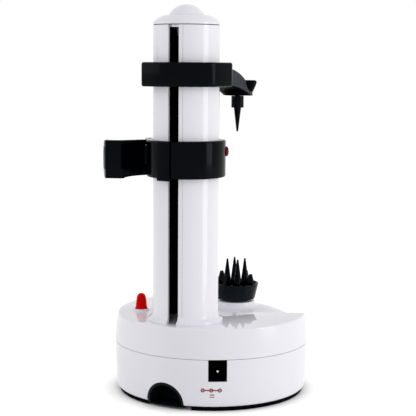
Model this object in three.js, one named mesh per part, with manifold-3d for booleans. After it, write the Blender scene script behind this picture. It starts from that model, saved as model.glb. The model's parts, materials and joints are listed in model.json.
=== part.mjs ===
// Electric countertop peeler: a round base with a motor and gear train, a slotted
// tower with a lead screw, a sprung peeling arm on a carriage that rides the tower,
// and a sliding upper holder whose free spike presses food onto the spiked cup below.
// Millimetres, +Z up. The origin is the centre of the base at the height of the floor.
// The wide face with the power socket looks along -Y.
import * as THREE from 'three';
import { mergeVertices } from 'three/addons/utils/BufferGeometryUtils.js';
import Module from 'manifold-3d';

const wasm = await Module();
wasm.setup();

// Clearances and fineness
const fit_gap = 0.3;
const overrun = 1;
const weld = 0.0005;
const wide_sides = 48;
const round_sides = 28;
const small_sides = 16;
const tiny_sides = 8;
const arc_steps = 7;

// Base
const deck_height = 60.1;
const seam_height = 38.2;
const base_radius = 73.75;
const base_taper = 2.1;
const base_foot_inset = 2.8;
const base_foot_height = 3.4;
const base_foot_fillet = 1.7;
const deck_fillet = 1.5;
const shell_wall = 2.4;
const seam_lip_height = 3;
const seam_lip_wall = 1.4;
const foot_ring_inset = 0.7;
const foot_ring_width = 7.2;
const plate_clearance = 1.5;
const plate_thickness = 2.3;
const plate_rim_thickness = 2;
const plate_rim_width = 3;

// Sloping apron round the turntable, and its raised ring
const turntable_place_shares = [0.26582, 0.51795];
const apron_drop = 2.3;
const apron_fall = 9.4;
const apron_step_gap = 8.8;
const apron_dome_inset = 2.2;
const apron_rings = 4;
const pedestal_radius = 15.2;
const pedestal_rise = 0.5;

// Tower
const tower_place_shares = [-0.26235, -0.46995];
const tower_radius = 24.2;
const tower_wall = 2.4;
const tower_height = 215.7;
const tower_foot_flare = 3.4;
const tower_foot_height = 5.6;
const tower_foot_straight = 2;
const slot_degrees = 21.6;
const slot_width = 7.8;
const liner_wall = 1.6;
const cap_spigot_height = 1.9;
const cap_overhang = 0.2;
const cap_rim_height = 1.7;
const cap_shoulder_radius = 18.1;
const cap_shoulder_height = 6.3;
const cap_bend_share = 0.75;
const cap_flat_radius = 13.4;
const cap_flat_height = 7.1;
const cap_boss_radius = 7;
const cap_boss_depth = 7.5;
const dome_radius = 13;
const dome_height = 7.6;
const dome_peg_radius = 3;
const dome_peg_depth = 3;
const tower_screw_radius = 1.4;
const tower_screw_head_radius = 2.8;
const tower_screw_head_height = 2;
const tower_screw_grip = 6.6;
const tower_screw_count = 2;
const tower_screw_first_degrees = 175;

// Lead screw
const screw_crest_radius = 4;
const screw_root_radius = 2.9;
const screw_journal_radius = 2.4;
const screw_pitch = 5;
const screw_end_gap = 9.8;
const screw_steps = 8;
const screw_start = 5.9;

// Gear train: one module, levels above the gear frame
const module_share = 0.0121;
const tooth_share = 0.42;
const addendum_share = 0.85;
const dedendum_share = 1.15;
const pressure_degrees = 20;
const turntable_teeth = 48;
const idler_teeth = 48;
const screw_teeth = 24;
const compound_small_teeth = 14;
const compound_large_teeth = 40;
const pinion_teeth = 10;
const frame_drop = 30.7;
const frame_thickness = 2.4;
const motor_level_gap = 0.8;
const motor_level_height = 3.6;
const train_level_gap = 1.2;
const train_level_height = 4.2;
const gear_hub_wall = 1.8;
const gear_hub_height = 1.4;
const compound_degrees = 195;
const motor_degrees = 215;
const pin_radius = 1.6;
const frame_leg_radius = 3;
const frame_margin = 9;

// Turntable and food cup
const shaft_radius = 3;
const bush_wall = 1.8;
const bush_flange = 1.4;
const bush_flange_height = 1;
const cup_rise = 1.1;
const cup_foot_radius = 15.5;
const cup_foot_chamfer = 2.2;
const cup_rim_radius = 18;
const cup_height = 13.2;
const cup_wall = 1.7;
const cup_floor = 2.4;
const cup_hub_radius = 5;
const cup_hub_height = 4.4;
const spike_count = 4;
const spike_circle = 7.05;
const spike_foot_radius = 3.8;
const spike_waist_radius = 2.9;
const spike_tip_radius = 0.7;
const spike_height = 32.8;
const spike_waist_share = 0.45;
const spike_first_degrees = 9;
const fin_count = 4;
const fin_first_degrees = 54;
const fin_peak_radius = 14.1;
const fin_inner_radius = 8.2;
const fin_rise = 8;
const fin_thickness = 2.8;
const cup_screw_radius = 1.3;
const cup_screw_head_radius = 2.4;
const cup_screw_head_height = 1.6;

// Motor
const motor_flat_margin = 0.45;
const motor_round_margin = 2.2;
const motor_bell_height = 4;
const motor_low = 6.2;
const motor_shaft_radius = 1;
const motor_bore_depth = 6;
const motor_screw_radius = 1.2;
const motor_screw_head_radius = 1.9;
const motor_screw_head_height = 1.4;
const motor_screw_length = 5;

// Start button on the deck
const button_place_shares = [-0.72952, -0.04741];
const button_rise = 14.1;
const button_foot_radius = 3.95;
const button_neck_radius = 3.2;
const button_flange_radius = 4.6;
const button_flange_rise = 0.8;
const button_flange_height = 1.1;
const button_stem_radius = 2.2;
const button_travel = 2.5;
const bezel_radius = 6.3;
const bezel_height = 1.5;
const bezel_wall = 0.8;
const bezel_depth = 9.6;
const bezel_lip = 1.8;
const bezel_lip_height = 1;
const switch_side = 12;
const switch_height = 6;
const switch_post_radius = 4;
const spring_wire_radius = 0.35;
const start_spring_turns = 5;

// Power socket in the rear wall
const socket_x = 4.45;
const socket_width = 13.5;
const socket_height = 15.9;
const socket_depth = 15;
const socket_rim = 1.1;
const socket_recess = 5.4;
const socket_barrel_radius = 3.1;
const socket_barrel_rise = 7.1;
const socket_barrel_depth = 8;
const socket_pin_radius = 0.8;
const socket_sink = 0.5;

// Finger notch in the lower shell with its black pocket
const notch_degrees = 28.2;
const notch_radius = 15.3;
const notch_centre_height = 4.1;
const notch_depth = 24.75;
const notch_liner_wall = 1.8;
const ring_gap_from_degrees = 11.8;
const ring_gap_to_degrees = 39.7;

// Shell screws and the posts that they pull on
const post_inset = 19.75;
const post_degrees = [20, 135, 205, 300];
const post_radius = 3.8;
const post_low = 7.6;
const pad_radius = 5.4;
const pad_height = 7.3;
const shell_screw_radius = 1.5;
const shell_screw_head_radius = 3;
const shell_screw_head_height = 2;
const shell_screw_recess = 2.8;
const shell_screw_length = 20;

// Carriage ring on the tower
const ride_gap = 0.4;
const carriage_rise = 106.1;
const carriage_height = 27;
const carriage_wall = 4.4;
const groove_cover = 1.2;
const groove_margin = 5.2;
const groove_from_degrees = -131;
const groove_to_degrees = 14;
const guard_degrees = 31.9;
const guard_width = 10.6;
const guard_thickness = 1.7;
const guard_drop = 1.3;
const guard_tab_height = 1;
const guard_tab_depth = 3;

// Release yoke inside the carriage, with its half nut and button
const release_travel = 1.5;
const yoke_inset = 1.7;
const yoke_wall = 1.2;
const yoke_margin = 2;
const yoke_from_degrees = -118;
const yoke_to_degrees = 9;
const key_margin = 2;
const key_left = -1;
const key_right = 2.4;
const key_turn = 5.6;
const jaw_thickness = 3;
const jaw_gap = 0.5;
const jaw_reach = 3;
const release_button_rise = 18.4;
const release_button_radius = 3.7;
const release_pad_radius = 3.2;
const release_button_stand = 2.2;
const release_button_dome = 1.4;
const release_dome_shares = [[0.75, 0.62], [0.4, 0.92]];
const release_hole_gap = 0.5;
const release_spring_radius = 1.1;
const release_spring_turns = 4;

// Peeling arm on its hinge pin
const hinge_gap = 4.04;
const hinge_degrees = 148.1;
const hinge_pin_radius = 1.6;
const hinge_pin_head_radius = 2.7;
const knuckle_radius = 3.8;
const carriage_knuckle_rise = 15.7;
const upper_knuckle_height = 4.1;
const lug_width = 6;
const stop_overhang = 2.7;
const stop_root = 2.9;
const stop_setback = 4.8;
const stop_thickness = 4.5;
const arm_drop = 2.1;
const arm_height = 28;
const arm_thickness = 4;
const arm_relief = 1.6;
const arm_relief_from = 4;
const arm_relief_to = 17.6;
const arm_elbow_x = 20.1;
const arm_elbow_y = -13.8;
const arm_corner_x = 29.6;
const arm_corner_y = -12.6;
const arm_side_x = 31.4;
const arm_side_y = -6;
const arm_tip_x = 26.6;
const arm_tip_y = 56;
const arm_leg_rise = 6.5;
const arm_leg_drop = 4.9;
const arm_leg_thickness = 4.6;
const lower_knuckle_height = 10.3;
const arm_spring_radius = 2.7;
const arm_spring_wire_radius = 0.4;
const arm_spring_turns = 4;
const blade_pin_radius = 1;
const fork_thickness = 2.6;
const head_radius = 3;
const head_width = 9.5;
const head_length = 9;
const blade_radius = 4.2;
const blade_thickness = 0.8;
const blade_height = 10.4;
const blade_half_degrees = 80;
const blade_slot_width = 1;
const blade_slot_share = 0.7;
const blade_reach = 8.4;

// Upper holder: collar, curved arm and dished head
const holder_drop = 26.8;
const holder_height = 17.4;
const holder_wall = 5.4;
const holder_left_width = 31.9;
const holder_right_width = 33.2;
const holder_side_half = 9;
const holder_left_crease_degrees = 30;
const holder_right_crease_degrees = 46;
const holder_rib_width = 6.2;
const holder_rib_depth = 2;
const head_drop = 7.9;
const head_height = 12;
const head_low_radius = 10.8;
const head_high_radius = 15.1;
const head_recess_radius = 6.2;
const head_recess_depth = 4;
const neck_drop = 3.3;
const neck_root_half = 9;
const neck_half = 12.1;
// Each point: the share of the way from tower to spike, and of the neck's height
const neck_top_shares = [[0.3, 1], [0.6, 0.955], [0.73, 0.84], [0.85, 0.64], [0.965, 0.325], [1.05, 0]];
const neck_low_shares = [[0.915, 0], [0.85, 0.14], [0.73, 0.3], [0.63, 0.36], [0.3, 0.4]];
const pad_half_degrees = 24;
const pad_thickness = 1.6;
const pad_margin = 2.7;
const pad_heading_degrees = 62;

// Upper spike, free to turn in the head
const upper_spike_length = 28.5;
const hub_height = 9.5;
const spike_cone_radius = 2.9;
const hub_radius = 4.9;
const spike_shaft_radius = 2;
const spike_shaft_drop = 2.1;
const clip_radius = 4.4;
const clip_height = 1.2;

// Worked out from the sizes above
const degree = Math.PI / 180;
const base_top_radius = base_radius - base_taper;
const base_foot_radius = base_radius - base_foot_inset;
const foot_ring_radius = base_foot_radius - foot_ring_inset;
const [turntable_x, turntable_y] = turntable_place_shares.map((share) => share * base_radius);
const [tower_x, tower_y] = tower_place_shares.map((share) => share * base_radius);
const [button_x, button_y] = button_place_shares.map((share) => share * base_radius);
const reach_x = turntable_x - tower_x;
const reach_y = turntable_y - tower_y;
const reach = Math.hypot(reach_x, reach_y);
const heading = Math.atan2(reach_x, reach_y);
const apron_step_radius = reach - tower_radius - tower_foot_flare - apron_step_gap;
const apron_dome_radius = apron_step_radius - apron_dome_inset;
const apron_sphere_radius = (apron_dome_radius ** 2 + apron_fall ** 2) / (2 * apron_fall);
const pedestal_height = deck_height + pedestal_rise;
const tower_top = deck_height + tower_height;
const screw_low = deck_height + screw_start;
const screw_turns = Math.round((tower_top - screw_end_gap - screw_low) / screw_pitch) - 1;
const gear_module = reach * module_share;
const frame_low = deck_height - frame_drop;
const pinion_tip_radius = gear_module * (pinion_teeth / 2 + addendum_share);
const motor_screw_circle = pinion_tip_radius + motor_screw_head_radius + fit_gap;
const motor_flat_half = motor_screw_circle + motor_screw_radius + fit_gap + motor_flat_margin;
const motor_radius = motor_flat_half + motor_round_margin;
const cup_low = pedestal_height + cup_rise;
const cup_rim_height = cup_low + cup_height;
const spike_tip_height = cup_low + spike_height;
const fin_peak_height = cup_rim_height + fin_rise;
const button_top = deck_height + button_rise;
const button_flange_low = deck_height + button_flange_rise;
const socket_low = seam_height - socket_height;
const socket_barrel_height = socket_low + socket_barrel_rise;
const notch_inner = base_radius - notch_depth;
const post_circle = base_radius - post_inset;
const carriage_low = deck_height + carriage_rise;
const carriage_high = carriage_low + carriage_height;
const carriage_radius = tower_radius + ride_gap + carriage_wall;
const groove_radius = carriage_radius - groove_cover;
const groove_low = carriage_low + groove_margin;
const groove_high = carriage_high - groove_margin;
const guard_low = carriage_low - guard_drop;
const yoke_radius = groove_radius - yoke_inset;
const yoke_low = groove_low + yoke_margin;
const yoke_high = groove_high - yoke_margin;
const key_low = yoke_low + key_margin;
const key_high = yoke_high - key_margin;
const release_button_height = carriage_low + release_button_rise;
const release_button_reach = carriage_radius + release_button_stand;
const release_button_hole_radius = release_button_radius + release_hole_gap;
const hinge_reach = carriage_radius + hinge_gap;
const hinge_x = tower_x + hinge_reach * Math.cos(hinge_degrees * degree);
const hinge_y = tower_y + hinge_reach * Math.sin(hinge_degrees * degree);
const arm_low = carriage_low - arm_drop;
const arm_high = arm_low + arm_height;
const arm_leg_low = arm_low + arm_leg_rise;
const arm_leg_high = arm_high - arm_leg_drop;
const lower_knuckle_high = arm_low + lower_knuckle_height;
const carriage_knuckle_low = arm_low + carriage_knuckle_rise;
const carriage_knuckle_high = arm_high - upper_knuckle_height;
const holder_high = tower_top - holder_drop;
const holder_low = holder_high - holder_height;
const holder_radius = tower_radius + ride_gap + holder_wall;
const head_low = holder_low - head_drop;
const head_high = head_low + head_height;
const neck_top = holder_high - neck_drop;
const pad_low = holder_low + pad_margin;
const pad_high = holder_high - pad_margin;
const spike_tip = head_low - upper_spike_length;
const spike_cone_high = head_low - hub_height;
const spike_shaft_top = head_high - spike_shaft_drop;
const tower_inner_radius = tower_radius - tower_wall;
const liner_radius = tower_inner_radius - fit_gap;
const spigot_low = tower_top - cap_spigot_height;
const ride_radius = tower_radius + ride_gap;
const socket_high = seam_height - fit_gap / 2;
const frame_high = frame_low + frame_thickness;
const motor_level_low = frame_high + motor_level_gap;
const motor_level_high = motor_level_low + motor_level_height;
const train_level_low = motor_level_high + train_level_gap;
const train_level_high = train_level_low + train_level_height;
const plate_floor = plate_clearance + plate_thickness;
const plate_rim_low = base_foot_height + fit_gap / 3;
const plate_rim_high = plate_rim_low + plate_rim_thickness;
const foot_ring_inner = foot_ring_radius - foot_ring_width;

// Materials
const white_plastic = new THREE.MeshStandardMaterial({ color: 0xf2f2f5, roughness: 0.18, metalness: 0 });
const grey_plastic = new THREE.MeshStandardMaterial({ color: 0xc9cacd, roughness: 0.5, metalness: 0 });
const black_plastic = new THREE.MeshStandardMaterial({ color: 0x0d0f12, roughness: 0.32, metalness: 0 });
const black_rubber = new THREE.MeshStandardMaterial({ color: 0x0a0a0a, roughness: 0.8, metalness: 0 });
const red_rubber = new THREE.MeshStandardMaterial({ color: 0xd40a0a, roughness: 0.3, metalness: 0 });
const red_plastic = new THREE.MeshStandardMaterial({ color: 0x9c0b10, roughness: 0.3, metalness: 0 });
const gear_plastic = new THREE.MeshStandardMaterial({ color: 0xe9e6da, roughness: 0.45, metalness: 0 });
const steel = new THREE.MeshStandardMaterial({ color: 0xb8bbc0, roughness: 0.25, metalness: 1 });
const brass = new THREE.MeshStandardMaterial({ color: 0xc9a24e, roughness: 0.35, metalness: 1 });

// A closed body from a geometry: shared corners merged, flat triangles dropped,
// faces turned outwards
function body_of(geometry) {
  const bare = geometry.clone();
  bare.deleteAttribute('normal');
  bare.deleteAttribute('uv');
  const merged = mergeVertices(bare, weld);
  const places = merged.getAttribute('position').array;
  const kept = [];
  let volume = 0;
  const corners = merged.getIndex().array;
  for (let i = 0; i < corners.length; i += 3) {
    const [a, b, c] = [corners[i], corners[i + 1], corners[i + 2]];
    if (a === b || b === c || c === a) {
      continue;
    }
    kept.push(a, b, c);
    const p = new THREE.Vector3().fromArray(places, a * 3);
    const q = new THREE.Vector3().fromArray(places, b * 3);
    const r = new THREE.Vector3().fromArray(places, c * 3);
    volume += p.dot(q.cross(r));
  }
  if (volume < 0) {
    kept.reverse();
  }
  const mesh = new wasm.Mesh({
    numProp: 3,
    vertProperties: new Float32Array(places),
    triVerts: new Uint32Array(kept),
  });
  return new wasm.Manifold(mesh);
}

function geometry_of(body) {
  const mesh = body.getMesh();
  const geometry = new THREE.BufferGeometry();
  geometry.setAttribute('position', new THREE.BufferAttribute(mesh.vertProperties, 3));
  geometry.setIndex(new THREE.BufferAttribute(mesh.triVerts, 1));
  return geometry;
}

function joined(first, ...others) {
  let body = body_of(first);
  for (const other of others) {
    body = body.add(body_of(other));
  }
  return geometry_of(body);
}

function cut(first, ...others) {
  let body = body_of(first);
  for (const other of others) {
    body = body.subtract(body_of(other));
  }
  return geometry_of(body);
}

function shared(first, ...others) {
  let body = body_of(first);
  for (const other of others) {
    body = body.intersect(body_of(other));
  }
  return geometry_of(body);
}

// Turned about the Z axis from pairs of radius and height
function turned(profile, sides = round_sides) {
  const points = profile.map(([radius, height]) => new THREE.Vector2(radius, height));
  return new THREE.LatheGeometry(points, sides).rotateX(Math.PI / 2);
}

function disc(radius, low, high, sides = round_sides) {
  return turned([[0, low], [radius, low], [radius, high], [0, high]], sides);
}

function ring(inner, outer, low, high, sides = round_sides) {
  return turned([[inner, low], [outer, low], [outer, high], [inner, high], [inner, low]], sides);
}

function block(x_low, x_high, y_low, y_high, low, high) {
  const box = new THREE.BoxGeometry(x_high - x_low, y_high - y_low, high - low);
  return box.translate((x_low + x_high) / 2, (y_low + y_high) / 2, (low + high) / 2);
}

function slab(shape, low, high, curve_steps = arc_steps) {
  const options = { depth: high - low, bevelEnabled: false, curveSegments: curve_steps };
  return new THREE.ExtrudeGeometry(shape, options).translate(0, 0, low);
}

// A side profile of pairs of way along +Y and height, drawn across to both sides
function profile_slab(pairs, half_width) {
  const shape = new THREE.Shape(pairs.map(([along, height]) => new THREE.Vector2(along, height)));
  const turn = new THREE.Matrix4().makeBasis(
    new THREE.Vector3(0, 1, 0),
    new THREE.Vector3(0, 0, 1),
    new THREE.Vector3(1, 0, 0),
  );
  return slab(shape, -half_width, half_width).applyMatrix4(turn);
}

// A pie-shaped sector about the Z axis, from one angle to another, in degrees from +X
function sector(radius, from_degrees, to_degrees, low, high) {
  const from = from_degrees * degree;
  const shape = new THREE.Shape();
  shape.moveTo(0, 0);
  shape.lineTo(radius * Math.cos(from), radius * Math.sin(from));
  shape.absarc(0, 0, radius, from, to_degrees * degree, false);
  return slab(shape, low, high);
}

// A wall of even thickness along a path of points in plan
function wall_along(points, thickness, low, high) {
  const left = [];
  const right = [];
  points.forEach((point, index) => {
    const before = points[Math.max(index - 1, 0)];
    const after = points[Math.min(index + 1, points.length - 1)];
    const into = new THREE.Vector2().subVectors(point, before).normalize();
    const out = new THREE.Vector2().subVectors(after, point).normalize();
    const along = new THREE.Vector2().addVectors(into, out).normalize();
    const side = new THREE.Vector2(-along.y, along.x);
    const ends = into.length() === 0 || out.length() === 0;
    const stretch = ends ? 1 : 1 / Math.sqrt((1 + into.dot(out)) / 2);
    left.push(point.clone().addScaledVector(side, thickness / 2 * stretch));
    right.unshift(point.clone().addScaledVector(side, -thickness / 2 * stretch));
  });
  return slab(new THREE.Shape([...left, ...right]), low, high);
}

// A wound wire of square section about the Z axis
function coil(radius, wire, low, high, turns, steps = 8, sides = 4) {
  const rise = high - low - 2 * wire;
  const count = turns * steps;
  const places = [];
  for (let i = 0; i <= count; i += 1) {
    const angle = 2 * Math.PI * i / steps;
    const out = new THREE.Vector3(Math.cos(angle), Math.sin(angle), 0);
    const along = new THREE.Vector3(-out.y, out.x, rise / (2 * Math.PI * radius * turns)).normalize();
    const up = new THREE.Vector3().crossVectors(out, along);
    const centre = out.clone().multiplyScalar(radius);
    centre.z = low + wire + rise * i / count;
    for (let j = 0; j < sides; j += 1) {
      const around = 2 * Math.PI * j / sides;
      const point = centre.clone();
      point.addScaledVector(out, wire * Math.cos(around));
      point.addScaledVector(up, wire * Math.sin(around));
      places.push(point);
    }
  }
  const faces = [];
  for (let i = 0; i < count; i += 1) {
    for (let j = 0; j < sides; j += 1) {
      const next = (j + 1) % sides;
      const [a, b] = [i * sides + j, i * sides + next];
      faces.push(a, b, b + sides, a, b + sides, a + sides);
    }
  }
  const last = count * sides;
  for (let j = 1; j < sides - 1; j += 1) {
    faces.push(0, j + 1, j);
    faces.push(last, last + j, last + j + 1);
  }
  const geometry = new THREE.BufferGeometry().setFromPoints(places);
  geometry.setIndex(faces);
  return geometry_of(body_of(geometry));
}

// A V thread: one line of points along the root and one along the crest
function thread(root, crest, pitch, low, turns, steps) {
  const count = turns * steps;
  const places = [];
  const faces = [];
  const point_at = (radius, index, lift) => {
    const angle = 2 * Math.PI * index / steps;
    const height = low + pitch * index / steps + lift;
    return new THREE.Vector3(radius * Math.cos(angle), radius * Math.sin(angle), height);
  };
  for (let i = 0; i <= count + steps; i += 1) {
    places.push(point_at(root, i, 0));
  }
  const crest_start = places.length;
  for (let i = 0; i <= count; i += 1) {
    places.push(point_at(crest, i, pitch / 2));
  }
  const low_centre = places.length;
  places.push(new THREE.Vector3(0, 0, low));
  const high_centre = places.length;
  places.push(new THREE.Vector3(0, 0, low + pitch * (turns + 1)));
  for (let i = 0; i < count; i += 1) {
    const c = crest_start + i;
    faces.push(i, i + 1, c + 1, i, c + 1, c);
    faces.push(c, c + 1, i + 1 + steps, c, i + 1 + steps, i + steps);
  }
  for (let i = 0; i < steps; i += 1) {
    faces.push(low_centre, i + 1, i);
    faces.push(high_centre, count + i, count + i + 1);
  }
  faces.push(low_centre, crest_start, steps, low_centre, 0, crest_start);
  faces.push(high_centre, crest_start + count, count, high_centre, count + steps, crest_start + count);
  const geometry = new THREE.BufferGeometry().setFromPoints(places);
  geometry.setIndex(faces);
  return geometry;
}

function pitch_radius(teeth) {
  return teeth * gear_module / 2;
}

// A toothed disc with its hub, its first tooth turned to the phase angle
function gear(teeth, low, high, bore, phase) {
  const pitch = pitch_radius(teeth);
  const slope = Math.tan(pressure_degrees * degree);
  const half_tooth = tooth_share * Math.PI * gear_module / 2;
  const radii = [pitch - dedendum_share * gear_module, pitch + addendum_share * gear_module];
  const halves = radii.map((radius) => (half_tooth - (radius - pitch) * slope) / radius);
  const points = [];
  for (let i = 0; i < teeth; i += 1) {
    const middle = phase + 2 * Math.PI * i / teeth;
    const stops = [[0, -1], [1, -1], [1, 1], [0, 1]];
    for (const [level, side] of stops) {
      const angle = middle + side * halves[level];
      points.push(new THREE.Vector2(radii[level] * Math.cos(angle), radii[level] * Math.sin(angle)));
    }
  }
  const disc_with_teeth = slab(new THREE.Shape(points), low, high);
  return cut(disc_with_teeth, disc(bore, low - overrun, high + overrun, small_sides));
}

// The phase that puts a gear in mesh with the one it is driven by
function phase_in_mesh(driver_teeth, driver_phase, teeth, direction) {
  const driver_turn = (direction - driver_phase) * driver_teeth / (2 * Math.PI);
  return direction + Math.PI - (0.5 - driver_turn) * 2 * Math.PI / teeth;
}

// A bush: a thin tube with a flange on top
function bush(shaft, low, high) {
  const inner = shaft + fit_gap / 3;
  const outer = shaft + bush_wall;
  const flange = outer + bush_flange;
  const under = high;
  const top = high + bush_flange_height;
  return turned([
    [inner, low], [outer, low], [outer, under], [flange, under], [flange, top], [inner, top], [inner, low],
  ], small_sides);
}

const electric_peeler = new THREE.Group();

function place(name, geometry, material, group) {
  const mesh = new THREE.Mesh(geometry, material);
  mesh.name = name;
  group.add(mesh);
}

function group_at(x, y, parent = electric_peeler) {
  const group = new THREE.Group();
  group.position.set(x, y, 0);
  parent.add(group);
  return group;
}

// Places of the gear axes
const turntable = group_at(turntable_x, turntable_y);
const tower = group_at(tower_x, tower_y);
const turntable_to_idler = pitch_radius(turntable_teeth) + pitch_radius(idler_teeth);
const idler_to_screw = pitch_radius(idler_teeth) + pitch_radius(screw_teeth);
const idler_way = (turntable_to_idler ** 2 - idler_to_screw ** 2 + reach ** 2) / (2 * reach);
const idler_bend = Math.acos(idler_way / turntable_to_idler);
const back_direction = Math.atan2(-reach_y, -reach_x);
const idler_direction = back_direction + idler_bend;
const idler_x = turntable_x + turntable_to_idler * Math.cos(idler_direction);
const idler_y = turntable_y + turntable_to_idler * Math.sin(idler_direction);
const screw_direction = Math.atan2(tower_y - idler_y, tower_x - idler_x);
const compound_direction = compound_degrees * degree;
const turntable_to_compound = pitch_radius(turntable_teeth) + pitch_radius(compound_small_teeth);
const compound_x = turntable_x + turntable_to_compound * Math.cos(compound_direction);
const compound_y = turntable_y + turntable_to_compound * Math.sin(compound_direction);
const motor_direction = motor_degrees * degree;
const compound_to_motor = pitch_radius(compound_large_teeth) + pitch_radius(pinion_teeth);
const motor_x = compound_x + compound_to_motor * Math.cos(motor_direction);
const motor_y = compound_y + compound_to_motor * Math.sin(motor_direction);
const idler_phase = phase_in_mesh(turntable_teeth, 0, idler_teeth, idler_direction);
const screw_phase = phase_in_mesh(idler_teeth, idler_phase, screw_teeth, screw_direction);
const small_phase = phase_in_mesh(turntable_teeth, 0, compound_small_teeth, compound_direction);
const pinion_phase = phase_in_mesh(compound_large_teeth, 0, pinion_teeth, motor_direction);

// The notch: an arched tunnel that points outwards from the centre of the base
function notch_tunnel(radius, inner, outer, low) {
  const shape = new THREE.Shape();
  shape.moveTo(-radius, low);
  shape.lineTo(radius, low);
  shape.lineTo(radius, notch_centre_height);
  shape.absarc(0, notch_centre_height, radius, 0, Math.PI, false);
  const tunnel = slab(shape, inner, outer).rotateX(Math.PI / 2);
  return tunnel.rotateZ(-notch_degrees * degree);
}

function post_places() {
  return post_degrees.map((angle) => [
    post_circle * Math.cos(angle * degree),
    post_circle * Math.sin(angle * degree),
  ]);
}

function lower_shell() {
  const inner_foot = base_foot_radius - shell_wall;
  const inner_seam = base_radius - shell_wall;
  const wall = turned([
    [base_foot_radius, base_foot_height],
    [base_foot_radius + base_foot_fillet / 2, base_foot_height + base_foot_fillet / 4],
    [base_foot_radius + base_foot_fillet * 3 / 4, base_foot_height + base_foot_fillet],
    [base_radius, socket_high],
    [inner_seam, socket_high],
    [inner_foot, base_foot_height + base_foot_fillet],
    [inner_foot, base_foot_height],
    [base_foot_radius, base_foot_height],
  ], wide_sides);
  const socket_hole = block(
    socket_x - socket_width / 2, socket_x + socket_width / 2,
    -base_radius - overrun, -base_radius / 2, socket_low, seam_height,
  );
  return cut(wall, socket_hole, notch_tunnel(notch_radius, notch_inner, base_radius + overrun, 0));
}

// What is taken away in front of the deck's step: all above the apron's shallow dome
function apron_cutter(clearance) {
  const step = apron_step_radius + clearance;
  const far = base_radius * 2;
  const shape = new THREE.Shape();
  shape.moveTo(turntable_x, turntable_y - step);
  shape.lineTo(far, turntable_y - step);
  shape.lineTo(far, far);
  shape.lineTo(turntable_x - step, far);
  shape.lineTo(turntable_x - step, turntable_y);
  shape.absarc(turntable_x, turntable_y, step, Math.PI, Math.PI * 3 / 2, false);
  const region = slab(shape, seam_height, deck_height + overrun);
  const top = deck_height - apron_drop - clearance;
  const height_at = (radius) => (
    top - apron_sphere_radius + Math.sqrt(apron_sphere_radius ** 2 - radius ** 2)
  );
  const dome_points = [[0, 0], [far, 0], [far, height_at(apron_dome_radius)]];
  for (let i = 0; i <= apron_rings; i += 1) {
    const radius = apron_dome_radius * (1 - i / apron_rings);
    dome_points.push([radius, height_at(radius)]);
  }
  const dome = turned(dome_points, round_sides).translate(turntable_x, turntable_y, 0);
  return cut(region, dome);
}

// The lower shell's inner radius at a height, between its foot and the seam
function lower_wall_inner(height) {
  const foot = base_foot_height + base_foot_fillet;
  const share = (height - foot) / (socket_high - foot);
  return base_radius - shell_wall - base_foot_inset * (1 - share);
}

function upper_shell() {
  const low = seam_height + fit_gap / 2;
  const tongue_low = low - seam_lip_height;
  const tongue_radius = lower_wall_inner(tongue_low) - fit_gap;
  const outer = cut(turned([
    [0, tongue_low],
    [tongue_radius, tongue_low],
    [tongue_radius, low],
    [base_radius, low],
    [base_top_radius, deck_height - deck_fillet],
    [base_top_radius - deck_fillet / 4, deck_height - deck_fillet / 2],
    [base_top_radius - deck_fillet, deck_height],
    [0, deck_height],
  ], wide_sides), apron_cutter(0));
  const hollow_top = deck_height - shell_wall;
  const hollow = cut(turned([
    [0, tongue_low - overrun],
    [tongue_radius - seam_lip_wall, tongue_low - overrun],
    [tongue_radius - seam_lip_wall, low + seam_lip_height],
    [base_radius - shell_wall, low + seam_lip_height + seam_lip_wall],
    [base_top_radius - shell_wall, hollow_top],
    [0, hollow_top],
  ], wide_sides), apron_cutter(shell_wall));
  const pedestal_low = deck_height - apron_drop - shell_wall / 2;
  const pedestal = disc(pedestal_radius, pedestal_low, pedestal_height)
    .translate(turntable_x, turntable_y, 0);
  let shell = joined(cut(outer, hollow), pedestal);
  const posts = post_places().map(([x, y]) => (
    disc(post_radius, post_low, deck_height, tiny_sides).translate(x, y, 0)
  ));
  const limit = joined(outer, disc(base_top_radius - shell_wall, post_low, low + overrun));
  shell = joined(shell, shared(joined(...posts), limit));
  const holes = post_places().map(([x, y]) => (
    disc(shell_screw_radius + fit_gap, post_low - overrun, shell_screw_length + fit_gap * 3, tiny_sides)
      .translate(x, y, 0)
  ));
  const bush_hole = disc(
    shaft_radius + bush_wall + fit_gap, seam_height, pedestal_height + overrun, small_sides,
  );
  const bush_seat = disc(
    shaft_radius + bush_wall + bush_flange + fit_gap,
    pedestal_height - bush_flange_height - fit_gap, pedestal_height + overrun, small_sides,
  );
  const screw_hole = disc(screw_crest_radius + bush_wall, seam_height, deck_height + overrun, small_sides);
  const button_hole = disc(
    bezel_radius - bezel_wall + fit_gap, seam_height, deck_height + overrun, small_sides,
  );
  const back_clear = base_radius / 2;
  const socket_clear = block(
    socket_x - socket_width / 2 - fit_gap, socket_x + socket_width / 2 + fit_gap,
    -tongue_radius - fit_gap, -back_clear, tongue_low - overrun, low,
  );
  const tower_holes = tower_screw_places().map(([x, y]) => (
    disc(tower_screw_radius + fit_gap, deck_height - shell_wall * 2, deck_height + overrun, tiny_sides)
      .translate(tower_x + x, tower_y + y, 0)
  ));
  return cut(
    shell, ...holes, ...tower_holes, socket_clear,
    bush_hole.translate(turntable_x, turntable_y, 0), bush_seat.translate(turntable_x, turntable_y, 0),
    screw_hole.translate(tower_x, tower_y, 0), button_hole.translate(button_x, button_y, 0),
  );
}

function foot_ring() {
  const whole = ring(foot_ring_inner, foot_ring_radius, 0, base_foot_height, wide_sides);
  const from = -90 - ring_gap_to_degrees;
  const to = -90 - ring_gap_from_degrees;
  const gap = sector(base_radius * 2, from, to, -overrun, base_foot_height + overrun);
  return cut(whole, gap, notch_tunnel(notch_radius, notch_inner, base_radius + overrun, -overrun));
}

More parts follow.
